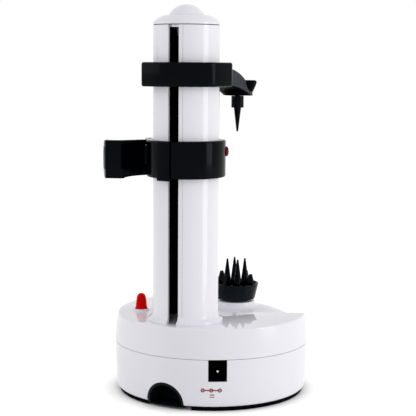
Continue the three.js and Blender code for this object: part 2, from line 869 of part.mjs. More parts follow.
function bottom_plate() {
  const rim_outer = base_foot_radius - shell_wall - fit_gap;
  const core = foot_ring_inner - fit_gap;
  const plate = turned([
    [0, plate_clearance],
    [core, plate_clearance],
    [core, plate_rim_low],
    [rim_outer, plate_rim_low],
    [rim_outer, plate_rim_high],
    [core - plate_rim_width, plate_rim_high],
    [core - plate_rim_width, plate_floor],
    [0, plate_floor],
  ], wide_sides);
  const pads = post_places().map(([x, y]) => (
    disc(pad_radius, plate_clearance, pad_height, tiny_sides).translate(x, y, 0)
  ));
  const switch_low = deck_height - bezel_depth - button_travel - fit_gap - switch_height;
  const post = disc(switch_post_radius, plate_clearance, switch_low, small_sides)
    .translate(button_x, button_y, 0);
  const recesses = post_places().map(([x, y]) => (
    disc(shell_screw_head_radius + fit_gap, 0, plate_clearance + shell_screw_recess, small_sides)
      .translate(x, y, 0)
  ));
  const holes = post_places().map(([x, y]) => (
    disc(shell_screw_radius + fit_gap, 0, pad_height + overrun, tiny_sides).translate(x, y, 0)
  ));
  const notch = notch_tunnel(notch_radius, notch_inner, base_radius + overrun, 0);
  return cut(joined(plate, ...pads, post), ...recesses, ...holes, notch);
}

function notch_liner() {
  const outer = notch_radius - fit_gap;
  const inner = outer - notch_liner_wall;
  const back = notch_inner + fit_gap;
  const arch = notch_tunnel(outer, back, base_radius + overrun, plate_clearance);
  const way_in = notch_tunnel(inner, back + notch_liner_wall, base_radius + overrun * 2, 0);
  const trim = turned([
    [0, 0],
    [base_foot_radius - fit_gap, 0],
    [base_foot_radius - fit_gap, base_foot_height],
    [base_foot_radius + base_foot_fillet / 2, base_foot_height + base_foot_fillet],
    [base_foot_radius + base_foot_fillet * 3 / 4, seam_height],
    [0, seam_height],
  ], wide_sides);
  return shared(cut(arch, way_in), trim);
}

function shell_screw() {
  const head_top = plate_clearance + shell_screw_recess;
  const head = disc(shell_screw_head_radius, head_top - shell_screw_head_height, head_top, tiny_sides);
  const shank = disc(shell_screw_radius, head_top - overrun, shell_screw_length, tiny_sides);
  return joined(head, shank);
}

function dc_socket() {
  const left = socket_x - socket_width / 2 + fit_gap;
  const right = socket_x + socket_width / 2 - fit_gap;
  const front = -base_radius + socket_sink;
  const low = socket_low + fit_gap;
  const high = socket_high - fit_gap;
  const housing = block(left, right, front, front + socket_depth, low, high);
  const recess = block(
    left + socket_rim, right - socket_rim, front - overrun, front + socket_recess,
    low + socket_rim, high - socket_rim,
  );
  const barrel = disc(socket_barrel_radius, 0, socket_barrel_depth + overrun, small_sides)
    .rotateX(-Math.PI / 2)
    .translate(socket_x, front + socket_recess - overrun, socket_barrel_height);
  const outside = turned([
    [0, 0], [base_foot_radius + base_foot_fillet * 3 / 4 + socket_sink, 0],
    [base_radius - socket_sink / 2, seam_height + overrun], [0, seam_height + overrun],
  ], wide_sides);
  return shared(cut(housing, recess, barrel), outside);
}

function dc_pin() {
  const front = -base_radius + socket_sink;
  const back = front + socket_recess + socket_barrel_depth - fit_gap;
  const length = back - front - socket_recess / 2;
  return disc(socket_pin_radius, 0, length, tiny_sides)
    .rotateX(-Math.PI / 2)
    .translate(socket_x, back - length, socket_barrel_height);
}

function start_bezel() {
  const outer = bezel_radius - bezel_wall;
  const inner = button_flange_radius + fit_gap;
  const low = deck_height - bezel_depth;
  const lip_top = low + bezel_lip_height;
  return turned([
    [inner - bezel_lip, low], [outer, low], [outer, deck_height], [bezel_radius, deck_height],
    [bezel_radius - bezel_height / 3, deck_height + bezel_height], [inner, deck_height + bezel_height],
    [inner, lip_top], [inner - bezel_lip, lip_top], [inner - bezel_lip, low],
  ], small_sides);
}

function start_button() {
  const flange_top = button_flange_low + button_flange_height;
  const neck = button_top - button_neck_radius;
  const stem_low = deck_height - bezel_depth;
  return turned([
    [0, stem_low], [button_stem_radius, stem_low], [button_stem_radius, button_flange_low],
    [button_flange_radius, button_flange_low], [button_flange_radius, flange_top],
    [button_foot_radius, flange_top], [button_neck_radius, neck],
    ...[60, 30].map((angle) => [
      button_neck_radius * Math.sin(angle * degree), neck + button_neck_radius * Math.cos(angle * degree),
    ]),
    [0, button_top],
  ], small_sides);
}

function start_spring() {
  const middle = (button_stem_radius + button_flange_radius) / 2;
  const low = deck_height - bezel_depth + bezel_lip_height + fit_gap;
  return coil(middle, spring_wire_radius, low, button_flange_low - fit_gap, start_spring_turns);
}

function start_switch() {
  const high = deck_height - bezel_depth - button_travel - fit_gap;
  const low = high - switch_height;
  const half = switch_side / 2;
  const case_part = block(-half, half, -half, half, low, high - switch_height / 6);
  const plunger = disc(button_stem_radius, low + overrun, high, tiny_sides);
  return joined(case_part, plunger);
}

function motor_pinion() {
  const bore = motor_shaft_radius + fit_gap / 3;
  return gear(pinion_teeth, motor_level_low, motor_level_high, bore, pinion_phase);
}

function motor_can() {
  const low = motor_low + motor_bell_height;
  const round = disc(motor_radius, low, frame_low);
  const flats = block(-motor_radius, motor_radius, -motor_flat_half, motor_flat_half, low, frame_low);
  const shaft_bore = disc(
    motor_shaft_radius + fit_gap, frame_low - motor_bore_depth, frame_low + overrun, tiny_sides,
  );
  const screw_bores = motor_screw_places().map(([x, y]) => (
    disc(motor_screw_radius + fit_gap, frame_low - motor_bore_depth, frame_low + overrun, tiny_sides)
      .translate(x, y, 0)
  ));
  return cut(shared(round, flats.rotateZ(motor_direction)), shaft_bore, ...screw_bores);
}

function motor_screw_places() {
  const across = motor_direction + Math.PI / 2;
  return [-1, 1].map((side) => [
    side * motor_screw_circle * Math.cos(across),
    side * motor_screw_circle * Math.sin(across),
  ]);
}

function motor_screw() {
  const head = disc(
    motor_screw_head_radius, frame_high, frame_high + motor_screw_head_height, tiny_sides,
  );
  const shank = disc(motor_screw_radius, frame_high - motor_screw_length, frame_high + overrun, tiny_sides);
  return joined(head, shank);
}

function motor_end_bell() {
  return disc(motor_flat_half, motor_low, motor_low + motor_bell_height);
}

function motor_shaft() {
  return disc(motor_shaft_radius, frame_low - motor_bore_depth + fit_gap, motor_level_high, tiny_sides);
}

// The plate that carries every gear, on legs that stand on the bottom plate
function gear_frame() {
  const spots = [
    [turntable_x, turntable_y], [compound_x, compound_y], [motor_x, motor_y],
    [tower_x, tower_y], [idler_x, idler_y],
  ];
  const plates = [];
  const links = [[0, 1], [1, 2], [2, 3], [3, 4], [4, 0], [1, 4], [2, 4]];
  for (const [from, to] of links) {
    const ends = [spots[from], spots[to]].map(([x, y]) => new THREE.Vector2(x, y));
    plates.push(wall_along(ends, frame_margin * 2, frame_low, frame_high));
  }
  for (const [x, y] of spots) {
    plates.push(disc(frame_margin, frame_low, frame_high, small_sides).translate(x, y, 0));
  }
  plates.push(disc(motor_radius, frame_low, frame_high, small_sides).translate(motor_x, motor_y, 0));
  const leg_spots = [
    [turntable_x + frame_margin * 2 / 3, turntable_y], [compound_x, compound_y],
    [idler_x, idler_y], [tower_x + frame_margin * 2 / 3, tower_y + frame_margin * 2 / 3],
    [(motor_x + tower_x) / 2, (motor_y + tower_y) / 2],
  ];
  const legs = leg_spots.map(([x, y]) => (
    disc(frame_leg_radius, plate_floor, frame_low + overrun, tiny_sides).translate(x, y, 0)
  ));
  const bores = [
    [turntable_x, turntable_y, shaft_radius + bush_wall],
    [tower_x, tower_y, screw_journal_radius + bush_wall],
    [motor_x, motor_y, motor_level_gap + motor_shaft_radius],
    [compound_x, compound_y, pin_radius], [idler_x, idler_y, pin_radius],
    ...motor_screw_places().map(([x, y]) => [motor_x + x, motor_y + y, motor_screw_radius]),
  ];
  const holes = bores.map(([x, y, radius]) => (
    disc(radius + fit_gap, frame_low - overrun, frame_high + overrun, small_sides).translate(x, y, 0)
  ));
  const pin_sockets = bores.slice(3, 5).map(([x, y, radius]) => (
    disc(radius + fit_gap, frame_low - frame_thickness * 2, frame_high, tiny_sides).translate(x, y, 0)
  ));
  return cut(joined(...plates, ...legs), ...holes, ...pin_sockets);
}

function gear_pin(high) {
  const low = frame_low - frame_thickness * 2 + fit_gap;
  const head = disc(pin_radius * 2, high, high + bush_flange_height, tiny_sides);
  return joined(disc(pin_radius, low, high + fit_gap, tiny_sides), head);
}

function compound_gear() {
  const bore = pin_radius + fit_gap;
  const large = gear(compound_large_teeth, motor_level_low, motor_level_high, bore, 0);
  const neck = ring(
    bore, bore + gear_hub_wall, motor_level_high - overrun, train_level_low + overrun, tiny_sides,
  );
  const small = gear(compound_small_teeth, train_level_low, train_level_high, bore, small_phase);
  return joined(large, neck, small);
}

function idler_gear() {
  const bore = pin_radius + fit_gap;
  const hub = ring(bore, bore + gear_hub_wall, motor_level_low, train_level_low + overrun, tiny_sides);
  return joined(gear(idler_teeth, train_level_low, train_level_high, bore, idler_phase), hub);
}

function shaft_gear(teeth, phase, shaft) {
  const bore = shaft + fit_gap / 3;
  const hub_low = frame_high + bush_flange_height + fit_gap;
  const hub = ring(bore, bore + gear_hub_wall, hub_low, train_level_high + gear_hub_height, small_sides);
  return joined(gear(teeth, train_level_low, train_level_high, bore, phase), hub);
}

function turntable_shaft() {
  return disc(shaft_radius, frame_low - overrun, cup_low + cup_floor + cup_hub_height / 2, small_sides);
}

function lead_screw() {
  const top_of_thread = screw_low + screw_pitch * (screw_turns + 1);
  const lower = disc(screw_journal_radius, frame_low - overrun, screw_low + screw_pitch, tiny_sides);
  const journal_top = tower_top - overrun;
  const upper = disc(screw_journal_radius, top_of_thread - screw_pitch, journal_top, tiny_sides);
  const worm = thread(
    screw_root_radius, screw_crest_radius, screw_pitch, screw_low, screw_turns, screw_steps,
  );
  return joined(worm, lower, upper);
}

// The slot as a block that runs outwards from the axis towards the slot's heading
function slot_block(width, inner, outer, low, high) {
  return block(-width / 2, width / 2, -outer, -inner, low, high).rotateZ(-slot_degrees * degree);
}

function tower_screw_places() {
  const circle = tower_radius + tower_foot_flare - tower_screw_radius - tower_foot_straight / 2;
  const places = [];
  for (let i = 0; i < tower_screw_count; i += 1) {
    const angle = (tower_screw_first_degrees + 360 * i / tower_screw_count) * degree;
    places.push([circle * Math.cos(angle), circle * Math.sin(angle)]);
  }
  return places;
}

function tower_tube() {
  const flare = tower_radius + tower_foot_flare;
  const tube = turned([
    [tower_inner_radius, deck_height], [flare, deck_height], [flare, deck_height + tower_foot_straight],
    [tower_radius + tower_foot_flare / 3, deck_height + tower_foot_height * 2 / 3],
    [tower_radius, deck_height + tower_foot_height], [tower_radius, tower_top],
    [tower_inner_radius, tower_top], [tower_inner_radius, deck_height],
  ], wide_sides);
  const slot = slot_block(slot_width, 0, flare + overrun, deck_height - overrun, tower_top + overrun);
  const sockets = tower_screw_places().map(([x, y]) => {
    const top = deck_height + tower_screw_grip - shell_wall - tower_foot_straight / 2;
    return disc(tower_screw_radius + fit_gap / 3, deck_height - overrun, top, tiny_sides).translate(x, y, 0);
  });
  return cut(tube, slot, ...sockets);
}

function tower_screw() {
  const seat = deck_height - shell_wall;
  const head = disc(tower_screw_head_radius, seat - tower_screw_head_height, seat, tiny_sides);
  const top = deck_height + tower_screw_grip - shell_wall - tower_foot_straight;
  const shank = disc(tower_screw_radius, seat - overrun, top, tiny_sides);
  return joined(head, shank);
}

function tower_liner() {
  const low = deck_height + fit_gap;
  const high = spigot_low - fit_gap;
  const tube = ring(liner_radius - liner_wall, liner_radius, low, high);
  return cut(tube, slot_block(slot_width, 0, tower_radius, low - overrun, high + overrun));
}

function top_cap() {
  const rim = tower_radius + cap_overhang;
  const top = tower_top + cap_flat_height;
  const boss_low = tower_top - cap_boss_depth;
  const cap = turned([
    [0, boss_low], [cap_boss_radius, boss_low], [cap_boss_radius, spigot_low],
    [liner_radius, spigot_low], [liner_radius, tower_top], [rim, tower_top],
    [rim, tower_top + cap_rim_height],
    [(rim + cap_shoulder_radius) / 2, tower_top + cap_shoulder_height * cap_bend_share],
    [cap_shoulder_radius, tower_top + cap_shoulder_height],
    [cap_flat_radius, top], [0, top],
  ]);
  const bush_bore = disc(
    screw_journal_radius + bush_wall + fit_gap, boss_low - overrun, tower_top, small_sides,
  );
  const peg_bore = disc(dome_peg_radius + fit_gap, top - dome_peg_depth - fit_gap, top + overrun, tiny_sides);
  return cut(cap, bush_bore, peg_bore);
}

function cap_dome() {
  const low = tower_top + cap_flat_height;
  const points = [[0, low - dome_peg_depth], [dome_peg_radius, low - dome_peg_depth], [dome_peg_radius, low]];
  const ball_radius = (dome_radius ** 2 + dome_height ** 2) / (2 * dome_height);
  const ball_centre = low + dome_height - ball_radius;
  const edge_angle = Math.asin((low - ball_centre) / ball_radius);
  const steps = 5;
  for (let i = 0; i <= steps; i += 1) {
    const angle = edge_angle + (Math.PI / 2 - edge_angle) * i / steps;
    points.push([ball_radius * Math.cos(angle), ball_centre + ball_radius * Math.sin(angle)]);
  }
  points[points.length - 1][0] = 0;
  return turned(points);
}

function top_bush() {
  const outer = screw_journal_radius + bush_wall;
  const low = tower_top - cap_boss_depth;
  return ring(screw_journal_radius + fit_gap / 3, outer, low, tower_top - fit_gap, small_sides);
}

// A fin in the cup: it stands on the floor and peaks near the rim
function cup_fin() {
  const floor = cup_low + cup_floor - overrun;
  const outer = cup_rim_radius - cup_wall / 2;
  const fin = profile_slab([
    [fin_inner_radius, floor], [outer, floor], [outer, cup_rim_height],
    [fin_peak_radius + fin_thickness / 4, fin_peak_height],
    [fin_peak_radius - fin_thickness / 4, fin_peak_height],
    [fin_inner_radius, cup_rim_height - cup_floor],
  ], fin_thickness / 2);
  const limit = cup_outside();
  const above = disc(cup_rim_radius - cup_wall / 2, cup_rim_height - overrun, fin_peak_height + overrun);
  return shared(fin, joined(limit, above));
}

function cup_outside() {
  return turned([
    [0, cup_low], [cup_foot_radius - cup_foot_chamfer, cup_low],
    [cup_foot_radius, cup_low + cup_foot_chamfer], [cup_rim_radius, cup_rim_height], [0, cup_rim_height],
  ]);
}

function cup_spike() {
  const floor = cup_low + cup_floor - overrun;
  const waist = floor + (spike_tip_height - floor) * spike_waist_share;
  return turned([
    [0, floor], [spike_foot_radius, floor], [spike_waist_radius, waist],
    [spike_tip_radius, spike_tip_height - spike_tip_radius], [0, spike_tip_height],
  ], tiny_sides);
}

function food_cup() {
  const floor = cup_low + cup_floor;
  const well = turned([
    [0, floor], [cup_foot_radius - cup_wall, floor],
    [cup_rim_radius - cup_wall, cup_rim_height + overrun], [0, cup_rim_height + overrun],
  ]);
  const parts = [cut(cup_outside(), well)];
  parts.push(disc(cup_hub_radius, cup_low, floor + cup_hub_height, small_sides));
  for (let i = 0; i < spike_count; i += 1) {
    const angle = (spike_first_degrees + 360 * i / spike_count) * degree;
    parts.push(cup_spike().translate(spike_circle * Math.cos(angle), spike_circle * Math.sin(angle), 0));
  }
  for (let i = 0; i < fin_count; i += 1) {
    parts.push(cup_fin().rotateZ((fin_first_degrees - 90 + 360 * i / fin_count) * degree));
  }
  const shaft_bore = disc(
    shaft_radius + fit_gap / 3, cup_low - overrun, floor + cup_hub_height / 2 + fit_gap, small_sides,
  );
  const screw_bore = disc(cup_screw_radius + fit_gap, cup_low, floor + cup_hub_height + overrun, tiny_sides);
  return cut(joined(...parts), shaft_bore, screw_bore);
}

function cup_screw() {
  const low = cup_low + cup_floor + cup_hub_height;
  const head = disc(cup_screw_head_radius, low, low + cup_screw_head_height, tiny_sides);
  const tip = cup_low + cup_floor + cup_hub_height / 2 + fit_gap;
  return joined(head, disc(cup_screw_radius, tip, low + overrun / 2, tiny_sides));
}

function carriage_ring() {
  const body = ring(ride_radius, carriage_radius, carriage_low, carriage_high, wide_sides);
  const groove = shared(
    ring(ride_radius - overrun, groove_radius, groove_low, groove_high, wide_sides),
    sector(groove_radius * 2, groove_from_degrees, groove_to_degrees, groove_low, groove_high),
  );
  const hole = disc(release_button_hole_radius, 0, carriage_radius + overrun, small_sides)
    .rotateY(Math.PI / 2)
    .translate(0, 0, release_button_height);
  const to_hinge_x = hinge_x - tower_x;
  const to_hinge_y = hinge_y - tower_y;
  const way = Math.hypot(to_hinge_x, to_hinge_y);
  const lug_ends = [(carriage_radius - overrun) / way, 1].map((share) => (
    new THREE.Vector2(to_hinge_x * share, to_hinge_y * share)
  ));
  const lug = wall_along(lug_ends, lug_width, carriage_knuckle_low, carriage_knuckle_high);
  const knuckle = disc(knuckle_radius, carriage_knuckle_low, carriage_knuckle_high, small_sides)
    .translate(to_hinge_x, to_hinge_y, 0);
  const pin_hole = disc(
    hinge_pin_radius + fit_gap, lower_knuckle_high - overrun, carriage_knuckle_high + overrun, tiny_sides,
  ).translate(to_hinge_x, to_hinge_y, 0);
  const stop_face = to_hinge_y - stop_setback;
  const arm_stop = block(
    to_hinge_x - stop_overhang, to_hinge_x + stop_root, stop_face - stop_thickness, stop_face,
    lower_knuckle_high, carriage_knuckle_high,
  );
  return cut(joined(cut(body, groove, hole), lug, knuckle, arm_stop), pin_hole);
}

// The narrow guard outside the ring over the slot, with a tab under the ring
function carriage_guard() {
  const inner = carriage_radius + fit_gap;
  const outer = inner + guard_thickness;
  const plate = ring(inner, outer, guard_low, carriage_high - fit_gap * 2, wide_sides);
  const tab = ring(inner - guard_tab_depth, outer, guard_low, guard_low + guard_tab_height, wide_sides);
  const window = block(-guard_width / 2, guard_width / 2, -outer - overrun, 0, guard_low, carriage_high);
  return shared(joined(plate, tab), window.rotateZ(-guard_degrees * degree));
}

// The C-shaped yoke, its key through the slot and the jaw beside the screw
function release_yoke() {
  const strip = shared(
    ring(yoke_radius - yoke_wall / 2, yoke_radius + yoke_wall / 2, yoke_low, yoke_high, wide_sides),
    sector(yoke_radius * 2, yoke_from_degrees, yoke_to_degrees, yoke_low, yoke_high),
  ).translate(release_travel / 2, 0, 0);
  const jaw_face = -screw_crest_radius - jaw_gap;
  const jaw_back = jaw_face - jaw_thickness;
  const turn_outer = key_turn + jaw_thickness;
  const key = block(key_left, key_right, -yoke_radius - yoke_wall / 4, -key_turn, key_low, key_high);
  const foot = block(jaw_back, key_right, -turn_outer, -key_turn, key_low, key_high);
  const jaw = block(jaw_back, jaw_face, -turn_outer, jaw_reach, key_low, key_high);
  const claw = joined(key, foot, jaw).rotateZ(-slot_degrees * degree);
  const pad = disc(release_pad_radius, yoke_radius, release_pad_face(), small_sides)
    .rotateY(Math.PI / 2)
    .translate(0, 0, release_button_height);
  return joined(strip, claw, pad);
}

function release_pad_face() {
  return groove_radius - fit_gap;
}

function release_button() {
  const back = release_pad_face();
  const shoulder = release_button_reach - release_button_dome;
  const height = release_button_dome;
  return turned([
    [0, back], [release_button_radius, back], [release_button_radius, shoulder],
    ...release_dome_shares.map(([out, up]) => [release_button_radius * out, shoulder + height * up]),
    [0, release_button_reach],
  ], small_sides).rotateY(Math.PI / 2).translate(0, 0, release_button_height);
}

function release_spring() {
  const middle = (yoke_low + yoke_high) / 2;
  const end_angle = yoke_from_degrees * degree;
  const stop_angle = groove_from_degrees * degree;
  const start_x = yoke_radius * Math.cos(end_angle) + release_travel / 2;
  const stop_x = yoke_radius * Math.cos(stop_angle);
  const length = start_x - stop_x - release_spring_radius * 2 - fit_gap * 2;
  const middle_angle = (end_angle + stop_angle) / 2;
  const spring = coil(release_spring_radius, spring_wire_radius / 2, 0, length, release_spring_turns);
  spring.rotateY(Math.PI / 2);
  return spring.rotateZ(middle_angle + Math.PI / 2)
    .translate(
      yoke_radius * Math.cos(middle_angle) - length / 2 * Math.cos(middle_angle + Math.PI / 2),
      yoke_radius * Math.sin(middle_angle) - length / 2 * Math.sin(middle_angle + Math.PI / 2),
      middle,
    );
}

function hinge_pin() {
  const low = arm_low + arm_relief + fit_gap;
  const shank = disc(hinge_pin_radius, low, arm_high + fit_gap, tiny_sides);
  const head = disc(hinge_pin_head_radius, arm_high + fit_gap, arm_high + fit_gap * 4, tiny_sides);
  return joined(shank, head);
}

function arm_spring() {
  const low = lower_knuckle_high + fit_gap;
  const high = carriage_knuckle_low - fit_gap;
  return coil(arm_spring_radius, arm_spring_wire_radius, low, high, arm_spring_turns);
}

// Plan path of the arm from its hinge: short plate, elbow, corner and long leg
function arm_path() {
  return [
    new THREE.Vector2(0, 0), new THREE.Vector2(-arm_elbow_x, arm_elbow_y),
    new THREE.Vector2(-arm_corner_x, arm_corner_y), new THREE.Vector2(-arm_side_x, arm_side_y),
    new THREE.Vector2(-arm_tip_x, arm_tip_y),
  ];
}

function peel_arm() {
  const path = arm_path();
  const plate = wall_along(path.slice(0, 4), arm_thickness, arm_low, arm_high);
  const leg = wall_along(path.slice(2), arm_leg_thickness, arm_leg_low, arm_leg_high);
  const knuckles = disc(knuckle_radius, arm_low, arm_high, small_sides);
  const middle_low = lower_knuckle_high;
  const middle_high = carriage_knuckle_high + fit_gap;
  const middle = disc(knuckle_radius + fit_gap * 2, middle_low, middle_high, small_sides);
  const relief_shape = new THREE.Shape();
  relief_shape.moveTo(-arm_relief_to, arm_low - overrun);
  relief_shape.lineTo(knuckle_radius * 2, arm_low - overrun);
  relief_shape.lineTo(knuckle_radius * 2, arm_low + arm_relief);
  relief_shape.lineTo(-arm_relief_from, arm_low + arm_relief);
  relief_shape.absellipse(
    -arm_relief_from, arm_low, arm_relief_to - arm_relief_from, arm_relief, Math.PI / 2, Math.PI, false,
  );
  const relief = slab(relief_shape, -arm_elbow_x * 2, arm_elbow_x * 2).rotateX(Math.PI / 2);
  const pin_hole = disc(hinge_pin_radius + fit_gap, arm_low - overrun, arm_high + overrun, tiny_sides);
  const eye = disc(head_radius, arm_leg_low, arm_leg_high, small_sides).translate(-arm_tip_x, arm_tip_y, 0);
  const fork_gap = disc(
    head_radius + head_width / 2, arm_leg_low + fork_thickness, arm_leg_high - fork_thickness, small_sides,
  ).translate(-arm_tip_x, arm_tip_y, 0);
  const blade_hole = disc(
    blade_pin_radius + fit_gap, arm_leg_low - overrun, arm_leg_high + overrun, tiny_sides,
  ).translate(-arm_tip_x, arm_tip_y, 0);
  return cut(joined(plate, leg, knuckles, eye), middle, relief, pin_hole, fork_gap, blade_hole);
}

function blade_pin() {
  const head_height = fit_gap * 3;
  const shank = disc(blade_pin_radius, arm_leg_low, arm_leg_high + fit_gap, tiny_sides);
  const head = disc(blade_pin_radius * 1.8, arm_leg_high, arm_leg_high + head_height, tiny_sides);
  return joined(shank, head);
}

// The swivelling head: an eye on the pin and two cheeks that hold the blade
function blade_head() {
  const low = arm_leg_low + fork_thickness + fit_gap;
  const high = arm_leg_high - fork_thickness - fit_gap;
  const eye = disc(head_radius, low, high, small_sides);
  const half = head_width / 2;
  const web = block(-half, half, 0, head_length, low, high);
  const mouth = disc(blade_radius + fit_gap, low - overrun, high + overrun, small_sides)
    .translate(0, blade_reach, 0);
  const hole = disc(blade_pin_radius + fit_gap / 3, low - overrun, high + overrun, tiny_sides);
  return cut(joined(eye, web), mouth, hole);
}

function peel_blade() {
  const middle = (arm_leg_low + arm_leg_high) / 2;
  const low = middle - blade_height / 2;
  const high = middle + blade_height / 2;
  const shell = ring(blade_radius - blade_thickness, blade_radius, low, high, round_sides);
  const shape = sector(blade_radius * 2, -90 - blade_half_degrees, -90 + blade_half_degrees, low, high);
  const slot_half = blade_height * blade_slot_share / 2;
  const slot = block(
    -blade_slot_width / 2, blade_slot_width / 2, -blade_radius * 2, 0, middle - slot_half, middle + slot_half,
  );
  return cut(shared(shell, shape), slot).translate(0, blade_reach, 0);
}

function holder_outline() {
  const left = holder_left_crease_degrees * degree;
  const right = holder_right_crease_degrees * degree;
  const shape = new THREE.Shape();
  shape.absarc(0, 0, holder_radius, Math.PI + left, 2 * Math.PI - right, false);
  shape.lineTo(holder_right_width, -holder_side_half);
  shape.lineTo(holder_right_width, holder_side_half);
  shape.absarc(0, 0, holder_radius, right, Math.PI - left, false);
  shape.lineTo(-holder_left_width, holder_side_half);
  shape.lineTo(-holder_left_width, -holder_side_half);
  return shape;
}

// The curved neck from the collar to the head, narrower at the collar, round at the end
function holder_neck() {
  const rise = neck_top - head_low;
  const outline = [...neck_top_shares, ...neck_low_shares].map(([way, up]) => (
    [way * reach, head_low + up * rise]
  ));
  const side = profile_slab(outline, neck_half + overrun);
  const plan = new THREE.Shape();
  plan.moveTo(-neck_root_half, 0);
  plan.lineTo(neck_root_half, 0);
  plan.lineTo(neck_half, reach);
  plan.absarc(0, reach, neck_half, 0, Math.PI, false);
  return shared(side, slab(plan, head_low - overrun, neck_top + overrun)).rotateZ(-heading);
}

function upper_holder() {
  const collar = slab(holder_outline(), holder_low, holder_high);
  const dish = turned([
    [0, head_low], [head_low_radius, head_low], [head_high_radius, head_high], [0, head_high],
  ]).translate(reach_x, reach_y, 0);
  const bore = disc(ride_radius, head_low - overrun, holder_high + overrun, wide_sides);
  const body = cut(joined(collar, holder_neck(), dish), bore);
  const rib = slot_block(
    holder_rib_width, tower_radius - holder_rib_depth, holder_radius - overrun, holder_low, holder_high,
  );
  const pocket = shared(
    ring(
      ride_radius - overrun, ride_radius + pad_thickness, pad_low - fit_gap, pad_high + fit_gap, wide_sides,
    ),
    pad_sector(pad_half_degrees + overrun, pad_low - fit_gap, pad_high + fit_gap),
  );
  const recess = disc(head_recess_radius, head_high - head_recess_depth, neck_top + overrun, small_sides);
  const spike_bore = disc(spike_shaft_radius + fit_gap, head_low - overrun, head_high, small_sides);
  return cut(
    joined(body, rib), pocket,
    recess.translate(reach_x, reach_y, 0), spike_bore.translate(reach_x, reach_y, 0),
  );
}

function pad_sector(half_degrees, low, high) {
  return sector(
    holder_radius * 2, pad_heading_degrees - half_degrees, pad_heading_degrees + half_degrees, low, high,
  );
}

function holder_pad() {
  const inner = tower_radius + fit_gap / 2;
  const pad = ring(inner, ride_radius + pad_thickness - fit_gap, pad_low, pad_high, wide_sides);
  return shared(pad, pad_sector(pad_half_degrees, pad_low, pad_high));
}

function upper_spike() {
  const hub_top = head_low - fit_gap;
  return turned([
    [0, spike_tip], [spike_tip_radius, spike_tip + spike_tip_radius], [spike_cone_radius, spike_cone_high],
    [hub_radius, spike_cone_high], [hub_radius, hub_top], [spike_shaft_radius, hub_top],
    [spike_shaft_radius, spike_shaft_top], [0, spike_shaft_top],
  ], small_sides);
}

function spike_clip() {
  const low = head_high - head_recess_depth + fit_gap;
  return ring(spike_shaft_radius + fit_gap / 3, clip_radius, low, low + clip_height, small_sides);
}

// Base shells, feet and fasteners
const base = group_at(0, 0);
place('lower_shell', lower_shell(), white_plastic, base);
place('upper_shell', upper_shell(), white_plastic, base);
place('bottom_plate', bottom_plate(), grey_plastic, base);
place('foot_ring', foot_ring(), black_rubber, base);
place('notch_liner', notch_liner(), black_plastic, base);
post_places().forEach(([x, y], index) => {
  place(`shell_screw_${index + 1}`, shell_screw(), steel, group_at(x, y, base));
});
place('dc_socket', dc_socket(), black_plastic, base);
place('dc_pin', dc_pin(), steel, base);
place('gear_frame', gear_frame(), grey_plastic, base);

// Start button and its switch
const start = group_at(button_x, button_y);
place('start_bezel', start_bezel(), white_plastic, start);
place('start_button', start_button(), red_rubber, start);
place('start_spring', start_spring(), steel, start);
place('start_switch', start_switch(), black_plastic, start);

// Motor
const motor = group_at(motor_x, motor_y);
place('motor_can', motor_can(), steel, motor);
place('motor_end_bell', motor_end_bell(), black_plastic, motor);
place('motor_shaft', motor_shaft(), steel, motor);
place('motor_pinion', motor_pinion(), brass, motor);
motor_screw_places().forEach(([x, y], index) => {
  place(`motor_screw_${index + 1}`, motor_screw(), steel, group_at(x, y, motor));
});

// Gear train
const compound = group_at(compound_x, compound_y);
place('compound_gear', compound_gear(), gear_plastic, compound);
place('compound_pin', gear_pin(train_level_high + fit_gap), steel, compound);
const idler = group_at(idler_x, idler_y);
place('idler_gear', idler_gear(), gear_plastic, idler);
place('idler_pin', gear_pin(train_level_high + fit_gap), steel, idler);
place('turntable_gear', shaft_gear(turntable_teeth, 0, shaft_radius), gear_plastic, turntable);
place('turntable_shaft', turntable_shaft(), steel, turntable);
place('turntable_foot_bush', bush(shaft_radius, frame_low, frame_high), brass, turntable);
const bush_seat_height = pedestal_height - bush_flange_height;
place(
  'turntable_bush', bush(shaft_radius, bush_seat_height - shell_wall * 2, bush_seat_height), brass, turntable,
);
place('food_cup', food_cup(), black_plastic, turntable);
place('cup_screw', cup_screw(), steel, turntable);

// Tower
place('tower_tube', tower_tube(), white_plastic, tower);
place('tower_liner', tower_liner(), black_plastic, tower);
tower_screw_places().forEach(([x, y], index) => {
  place(`tower_screw_${index + 1}`, tower_screw(), steel, group_at(x, y, tower));
});
place('top_cap', top_cap(), white_plastic, tower);
place('cap_dome', cap_dome(), white_plastic, tower);
place('lead_screw', lead_screw(), steel, tower);
place('screw_gear', shaft_gear(screw_teeth, screw_phase, screw_journal_radius), gear_plastic, tower);
place('screw_foot_bush', bush(screw_journal_radius, frame_low, frame_high), brass, tower);
place('screw_top_bush', top_bush(), brass, tower);

// Carriage and release
place('carriage_ring', carriage_ring(), black_plastic, tower);
place('carriage_guard', carriage_guard(), black_plastic, tower);
place('release_yoke', release_yoke(), black_plastic, tower);
place('release_button', release_button(), red_plastic, tower);
place('release_spring', release_spring(), steel, tower);

// Peeling arm
const hinge = group_at(hinge_x, hinge_y);
place('hinge_pin', hinge_pin(), steel, hinge);
place('arm_spring', arm_spring(), steel, hinge);
place('peel_arm', peel_arm(), black_plastic, hinge);
const blade = group_at(-arm_tip_x, arm_tip_y, hinge);
place('blade_pin', blade_pin(), steel, blade);
place('blade_head', blade_head(), black_plastic, blade);
place('peel_blade', peel_blade(), steel, blade);

// Upper holder
place('upper_holder', upper_holder(), black_plastic, tower);
place('holder_pad', holder_pad(), black_rubber, tower);
place('upper_spike', upper_spike(), black_plastic, turntable);
place('spike_clip', spike_clip(), steel, turntable);

export default electric_peeler;
